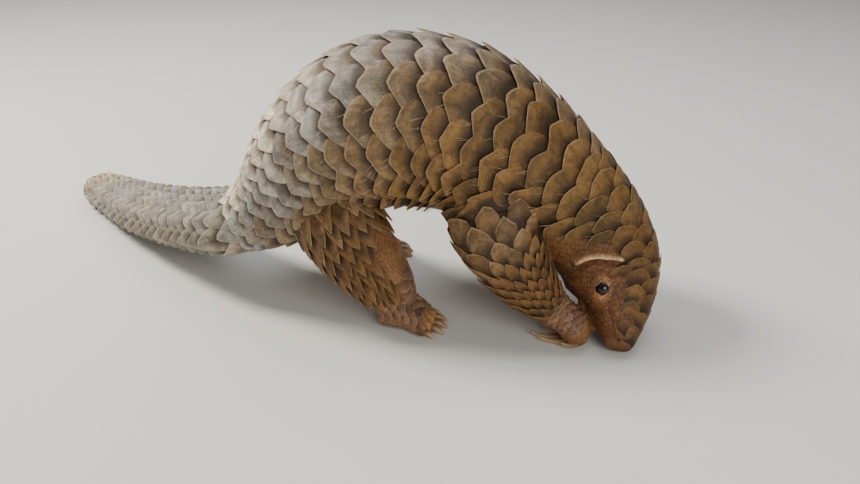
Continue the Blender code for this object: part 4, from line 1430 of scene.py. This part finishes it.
def horn_group():
    """Scale horn: grey on the back as a painted reflection of the sky, ochre low down, darker to the root as
    painted shade, and pale along the free edge as a painted highlight.
    """
    tree = bpy.data.node_groups.new("scale_horn", "ShaderNodeTree")
    for name in HORN_ZONES:
        socket_in(tree, name, "NodeSocketColor", rgb(0.2, 0.15, 0.1))
    socket_out(tree, "Colour", "NodeSocketColor")
    socket_out(tree, "Roughness", "NodeSocketFloat")
    socket_out(tree, "Height", "NodeSocketFloat")
    b = Bench(tree)
    given = b.node("NodeGroupInput")
    at = b.place()
    tone, edge, aside, own = b.kept("tone"), b.kept("from_edge"), b.kept("aside"), b.kept("own")
    grown = b.kept("grown")
    wander = b.noise(18, 3, 0.5, at)
    mixed = b.math("ADD", tone, b.math("MULTIPLY", b.math("SUBTRACT", wander, 0.5), 0.55))
    # painted light: the pale rump stands for sunlight, and the grey of the upper back for the sky's
    # reflection
    base = b.blend(b.span(mixed, -0.95, -0.05), given.outputs["Pale"], given.outputs["Back_sheen"])
    base = b.blend(b.span(mixed, -0.04, 0.34), base, given.outputs["Middle"])
    base = b.blend(b.span(mixed, 0.30, 0.82), base, given.outputs["Flank"])
    base = b.blend(b.span(mixed, 1.0, 1.8), base, given.outputs["Deep"])
    shade = b.math("ADD", 0.74, b.math("MULTIPLY", own, 0.5))
    base = b.blend(1.0, base, shade, "MULTIPLY")
    mottle = b.span(b.noise(85, 5, 0.65, at, 0.6), 0.34, 0.68, 0.62, 1.28)
    base = b.blend(1.0, base, mottle, "MULTIPLY")
    lines = b.node("ShaderNodeCombineXYZ")
    b.join(b.math("MULTIPLY", aside, 13.0), lines.inputs["X"])
    b.join(b.math("MULTIPLY", grown, 1.6), lines.inputs["Y"])
    b.join(b.math("MULTIPLY", own, 31.0), lines.inputs["Z"])
    streaks = b.noise(1.0, 4, 0.6, lines.outputs[0])
    rings = b.node("ShaderNodeCombineXYZ")
    b.join(b.math("MULTIPLY", aside, 1.5), rings.inputs["X"])
    b.join(b.math("MULTIPLY", grown, 26.0), rings.inputs["Y"])
    b.join(b.math("MULTIPLY", own, 17.0), rings.inputs["Z"])
    growth = b.noise(1.0, 3, 0.6, rings.outputs[0])
    base = b.blend(1.0, base, b.span(streaks, 0.3, 0.7, 0.84, 1.14), "MULTIPLY")
    base = b.blend(1.0, base, b.span(growth, 0.3, 0.7, 0.88, 1.10), "MULTIPLY")
    # painted shade: each scale darkens towards its root, where the scale before it overlaps
    root_shade_share = b.span(edge, 0.16, 0.50)
    base = b.blend(b.math("MULTIPLY", root_shade_share, 0.9), base, given.outputs["Root_shade"])
    # painted highlight: a pale line along each scale's free edge and sides, its width varied by noise, fading
    # into the base colour low on the flank
    edge_jitter = b.math("ADD", b.math("MULTIPLY", b.noise(210, 3, 0.6, at), 0.05), 0.012)
    rim = b.math("LESS_THAN", edge, edge_jitter)
    side_highlight = b.span(b.math("ABSOLUTE", aside), 0.90, 0.985)
    side_highlight = b.math("MULTIPLY", side_highlight, b.span(edge, 0.5, 0.2))
    highlight_band = b.math("MAXIMUM", b.span(edge, 0.034, 0.004), side_highlight)
    highlight_band = b.math("MULTIPLY", highlight_band, b.span(b.noise(110, 4, 0.65, at), 0.38, 0.62, 0.12, 0.85))
    highlight_colour = b.blend(b.span(mixed, 0.4, 1.0, 0.0, 0.45), given.outputs["Edge_highlight"], base)
    base = b.blend(b.math("MAXIMUM", highlight_band, b.math("MULTIPLY", rim, 0.35)), base, highlight_colour)
    made = b.node("NodeGroupOutput")
    b.join(base, made.inputs["Colour"])
    b.join(b.math("ADD", 0.42, b.math("MULTIPLY", streaks, 0.26)), made.inputs["Roughness"])
    fine = b.noise(1500, 2, 0.5, at)
    height = b.math("ADD", b.math("MULTIPLY", streaks, 0.65), b.math("MULTIPLY", growth, 0.5))
    b.join(b.math("ADD", height, b.math("MULTIPLY", fine, 0.12)), made.inputs["Height"])
    return tree


def hide_group():
    """Bare hide: pebbled, creased and stained."""
    tree = bpy.data.node_groups.new("pebbled_hide", "ShaderNodeTree")
    socket_in(tree, "Pebbles", "NodeSocketFloat", 1.0)
    socket_out(tree, "Shade", "NodeSocketFloat")
    socket_out(tree, "Height", "NodeSocketFloat")
    b = Bench(tree)
    given = b.node("NodeGroupInput")
    at = b.place()
    cells = b.node("ShaderNodeTexVoronoi", feature="F1")
    cells.inputs["Scale"].default_value = 520
    b.join(at, cells.inputs["Vector"])
    large = b.node("ShaderNodeTexVoronoi", feature="DISTANCE_TO_EDGE")
    large.inputs["Scale"].default_value = 230
    b.join(at, large.inputs["Vector"])
    creases = b.span(large.outputs["Distance"], 0.0, 0.14)
    pebbles = b.math("SUBTRACT", 1.0, b.math("MULTIPLY", cells.outputs["Distance"], 1.1), clamp=True)
    height = b.math("ADD", b.math("MULTIPLY", pebbles, 0.55), b.math("MULTIPLY", creases, 0.7))
    height = b.math("ADD", height, b.math("MULTIPLY", b.noise(130, 4, 0.6, at), 0.8))
    made = b.node("NodeGroupOutput")
    b.join(b.math("MULTIPLY", height, given.outputs["Pebbles"]), made.inputs["Height"])
    stains = b.span(b.noise(60, 5, 0.6, at), 0.3, 0.7, 0.72, 1.25)
    shade = b.math("MULTIPLY", b.span(creases, 0.0, 1.0, 0.66, 1.0), stains)
    b.join(shade, made.inputs["Shade"])
    return tree


SOIL, HORN, HIDE = soil_group(), horn_group(), hide_group()


def material(name, roughness=0.5, **uniform):
    made = bpy.data.materials.new(name)
    made.use_nodes = True
    b = Bench(made.node_tree)
    shader = made.node_tree.nodes["Principled BSDF"]
    shader.inputs["Roughness"].default_value = roughness
    for key, value in uniform.items():
        shader.inputs[key.replace("_", " ")].default_value = value
    return made, b, shader


def group(b, tree, **given):
    made = b.node("ShaderNodeGroup", node_tree=tree)
    for key, value in given.items():
        b.feed(made.inputs[key], value)
    return made


def bump(b, shader, height, depth, strength=1.0):
    made = b.node("ShaderNodeBump")
    made.inputs["Distance"].default_value = depth
    made.inputs["Strength"].default_value = strength
    b.join(height, made.inputs["Height"])
    b.join(made.outputs["Normal"], shader.inputs["Normal"])


# Each kind of scale horn: its soil, the colour of the dust, and the colours of its zones in their order
HORN_KINDS = {
    # the body's pale rump colour is painted sunlight, and its grey back colour is a painted reflection of the
    # sky
    "body_horn": (0.6, (0.31, 0.170, 0.065), (
        (0.80, 0.69, 0.52), (0.270, 0.256, 0.232), (0.225, 0.160, 0.090), (0.190, 0.103, 0.031),
        (0.122, 0.066, 0.017), (0.46, 0.37, 0.24), (0.024, 0.014, 0.007))),
    "head_horn": (0.55, (0.24, 0.11, 0.032), (
        (0.15, 0.13, 0.10), (0.150, 0.130, 0.100), (0.130, 0.080, 0.031), (0.132, 0.068, 0.016),
        (0.138, 0.068, 0.020), (0.32, 0.22, 0.12), (0.018, 0.009, 0.004))),
    "tail_horn": (0.6, (0.46, 0.36, 0.24), (
        (0.46, 0.385, 0.265), (0.285, 0.280, 0.268), (0.270, 0.235, 0.180), (0.23, 0.175, 0.110),
        (0.20, 0.15, 0.09), (0.62, 0.54, 0.42), (0.022, 0.015, 0.010))),
    "leg_horn": (0.6, (0.28, 0.13, 0.042), (
        (0.20, 0.14, 0.08), (0.215, 0.140, 0.072), (0.190, 0.112, 0.048), (0.150, 0.074, 0.021),
        (0.12, 0.05, 0.012), (0.42, 0.30, 0.17), (0.020, 0.010, 0.004))),
    "foot_horn": (0.45, (0.36, 0.16, 0.05), (
        (0.19, 0.11, 0.075), (0.19, 0.110, 0.075), (0.19, 0.108, 0.073), (0.21, 0.112, 0.066),
        (0.20, 0.10, 0.06), (0.60, 0.42, 0.28), (0.060, 0.025, 0.013))),
}


def scale_material(name, soil, dust, colours):
    made, b, shader = material(name, Specular_IOR_Level=0.25)
    horn = group(b, HORN, **{zone: rgb(*colour) for zone, colour in zip(HORN_ZONES, colours)})
    rubbed = group(b, SOIL, Colour=horn.outputs["Colour"], Roughness=horn.outputs["Roughness"], Amount=soil,
                   Dust=rgb(*dust))
    b.join(rubbed.outputs["Colour"], shader.inputs["Base Color"])
    b.join(rubbed.outputs["Roughness"], shader.inputs["Roughness"])
    height = b.math("ADD", horn.outputs["Height"], b.math("MULTIPLY", rubbed.outputs["Height"], 0.6))
    bump(b, shader, height, 0.0005, 0.8)
    return made


def skin_material():
    made, b, shader = material("bare_hide", Specular_IOR_Level=0.4, Subsurface_Weight=0.0)
    hide = group(b, HIDE, Pebbles=1.0)
    bare, face, tone = b.kept("bare"), b.kept("face"), b.kept("tone")
    under = b.blend(tone, rgb(0.040, 0.030, 0.020), rgb(0.034, 0.016, 0.006))
    limb = b.blend(b.kept("belly"), rgb(0.180, 0.074, 0.020), rgb(0.27, 0.155, 0.095))
    open_skin = b.blend(face, limb, rgb(0.150, 0.059, 0.017))
    patchy = b.span(b.noise(34, 4, 0.6, b.place(), 0.5), 0.40, 0.64)
    open_skin = b.blend(b.math("MULTIPLY", patchy, 0.45), open_skin, rgb(0.190, 0.080, 0.022))
    open_skin = b.blend(b.math("MULTIPLY", b.kept("granular"), 0.75), open_skin, rgb(0.215, 0.098, 0.028))
    open_skin = b.blend(b.math("MULTIPLY", b.kept("toe_end"), 0.85), open_skin, rgb(0.62, 0.29, 0.075))
    # painted shade in the ear hollows, the mouth slit and the creases beside the forelegs
    open_skin = b.blend(b.math("MULTIPLY", b.kept("hollow"), 0.7), open_skin, rgb(0.085, 0.022, 0.006))
    open_skin = b.blend(b.math("MULTIPLY", b.kept("lid"), 0.75), open_skin, rgb(0.52, 0.26, 0.12))
    open_skin = b.blend(b.kept("ear_rim"), open_skin, rgb(0.90, 0.58, 0.29))
    colour = b.blend(bare, under, open_skin)
    colour = b.blend(1.0, colour, hide.outputs["Shade"], "MULTIPLY")
    rubbed = group(b, SOIL, Colour=colour, Roughness=0.62, Amount=0.45, Dust=rgb(0.34, 0.16, 0.06))
    b.join(rubbed.outputs["Colour"], shader.inputs["Base Color"])
    b.join(rubbed.outputs["Roughness"], shader.inputs["Roughness"])
    bump(b, shader, b.math("ADD", hide.outputs["Height"], rubbed.outputs["Height"]), 0.0006, 0.9)
    return made


def claw_material():
    made, b, shader = material("claw_horn", 0.4, Coat_Weight=0.15, Coat_Roughness=0.3)
    at = b.place()
    stretch = b.noise(55, 4, 0.6, at, 1.2)
    base = b.blend(b.span(b.kept("grown"), 0.1, 0.9), rgb(0.16, 0.085, 0.038), rgb(0.46, 0.30, 0.16))
    base = b.blend(1.0, base, b.span(stretch, 0.3, 0.7, 0.75, 1.2), "MULTIPLY")
    rubbed = group(b, SOIL, Colour=base, Roughness=0.38, Amount=0.6, Dust=rgb(0.30, 0.17, 0.08))
    b.join(rubbed.outputs["Colour"], shader.inputs["Base Color"])
    b.join(rubbed.outputs["Roughness"], shader.inputs["Roughness"])
    bump(b, shader, b.math("ADD", stretch, rubbed.outputs["Height"]), 0.0003, 0.6)
    return made


def bristle_material():
    made, b, shader = material("pale_bristle", 0.42)
    base = b.blend(b.kept("grown"), rgb(0.36, 0.25, 0.14), rgb(0.66, 0.53, 0.36))
    base = b.blend(1.0, base, b.span(b.noise(90, 3, 0.6, b.place()), 0.3, 0.7, 0.75, 1.15), "MULTIPLY")
    b.join(base, shader.inputs["Base Color"])
    return made


def eye_material():
    made, b, shader = material("wet_eye", 0.06, Coat_Weight=0.35, Coat_Roughness=0.02, IOR=1.38)
    pole = b.kept("pole")
    streak = b.noise(700, 4, 0.6, b.place())
    iris = b.blend(streak, rgb(0.010, 0.006, 0.004), rgb(0.030, 0.016, 0.009))
    colour = b.blend(b.span(pole, 0.86, 0.90), iris, rgb(0.002, 0.002, 0.002))
    colour = b.blend(b.span(pole, 0.66, 0.60), colour, rgb(0.11, 0.062, 0.04))
    b.join(colour, shader.inputs["Base Color"])
    b.join(b.span(pole, 0.66, 0.60, 0.05, 0.35), shader.inputs["Roughness"])
    return made


def floor_material():
    made, b, shader = material("studio_floor", 0.75)
    soft = b.noise(3, 2, 0.5, b.place())
    b.join(b.blend(soft, rgb(0.66, 0.66, 0.64), rgb(0.70, 0.70, 0.68)), shader.inputs["Base Color"])
    return made


# Studio
FLOOR_REACH = 14.0
PICTURE_WIDTH = 860  # in pixels
LENS_LENGTH = 800  # in the same pixels
FILM_WIDTH = 36


def softbox(name, place, aim, size, power, colour):
    """A round soft light that looks from its place to its aim."""
    light = bpy.data.lights.new(name, "AREA")
    light.shape = "DISK"
    light.size = size
    light.energy = power
    light.color = colour
    item = bpy.data.objects.new(name, light)
    item.location = place
    item.rotation_euler = (Vector(aim) - Vector(place)).to_track_quat("-Z", "Y").to_euler()
    bpy.context.scene.collection.objects.link(item)


def build_camera():
    lens = bpy.data.cameras.new("camera")
    lens.sensor_width = FILM_WIDTH
    lens.lens = LENS_LENGTH / PICTURE_WIDTH * FILM_WIDTH
    camera = bpy.data.objects.new("camera", lens)
    camera.location = Vector(np.array(CAMERA_PLACE) + SHIFT)
    camera.rotation_euler = (math.pi / 2 - CAMERA_DOWN, 0, 0)
    bpy.context.scene.collection.objects.link(camera)
    bpy.context.scene.camera = camera


def build_studio():
    mesh = bpy.data.meshes.new("floor")
    far = FLOOR_REACH
    mesh.from_pydata([(-far, -far, 0), (far, -far, 0), (far, far, 0), (-far, far, 0)], [], [(0, 1, 2, 3)])
    floor = new_object("floor", mesh)
    floor.data.materials.append(floor_material())
    softbox("key_box", (-1.15, 0.35, 1.55), (-0.05, 0.0, 0.12), 0.6, 54, (1.0, 0.94, 0.83))
    softbox("top_box", (0.45, 0.5, 1.7), (0.0, 0.0, 0.1), 1.3, 13, (0.97, 0.98, 1.0))
    softbox("front_box", (0.7, -1.5, 0.8), (0.05, 0.0, 0.1), 1.1, 16, (1.0, 0.955, 0.88))
    world = bpy.data.worlds.new("studio")
    world.use_nodes = True
    world.node_tree.nodes["Background"].inputs["Color"].default_value = (0.84, 0.84, 0.83, 1)
    world.node_tree.nodes["Background"].inputs["Strength"].default_value = 0.30
    bpy.context.scene.world = world
    build_camera()


def finish_piece(piece, surface):
    piece.data.materials.clear()
    piece.data.materials.append(surface)
    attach(piece, "root")


def main():
    build_studio()
    flesh = [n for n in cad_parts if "claw" not in n and not n.endswith("_eye")]
    skin = build_skin()
    finish_piece(skin, skin_material())
    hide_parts(*flesh)

    body, head, tail, leg, plate = (scale_material(name, *given) for name, given in HORN_KINDS.items())
    finish_piece(body_scales("tail_scales", -1.0, 6.3), tail)
    finish_piece(body_scales("rump_scales", 6.3, 10.2), body)
    finish_piece(body_scales("flank_scales", 10.2, 12.9), body)
    finish_piece(body_scales("neck_scales", 12.9, 14.2), body)
    finish_piece(body_scales("head_scales", 14.2, 19.4), head)
    finish_piece(leg_scales("leg_scales", list(legs)), leg)
    finish_piece(foot_plates("foot_plates", skin), plate)
    bristle = bristle_material()
    finish_piece(build_bristles(), bristle)
    finish_piece(build_belly_hair(), bristle)
    horn = claw_material()
    for piece in build_claws():
        finish_piece(piece, horn)
    wet = eye_material()
    for ball in build_eyes():
        finish_piece(ball, wet)


main()
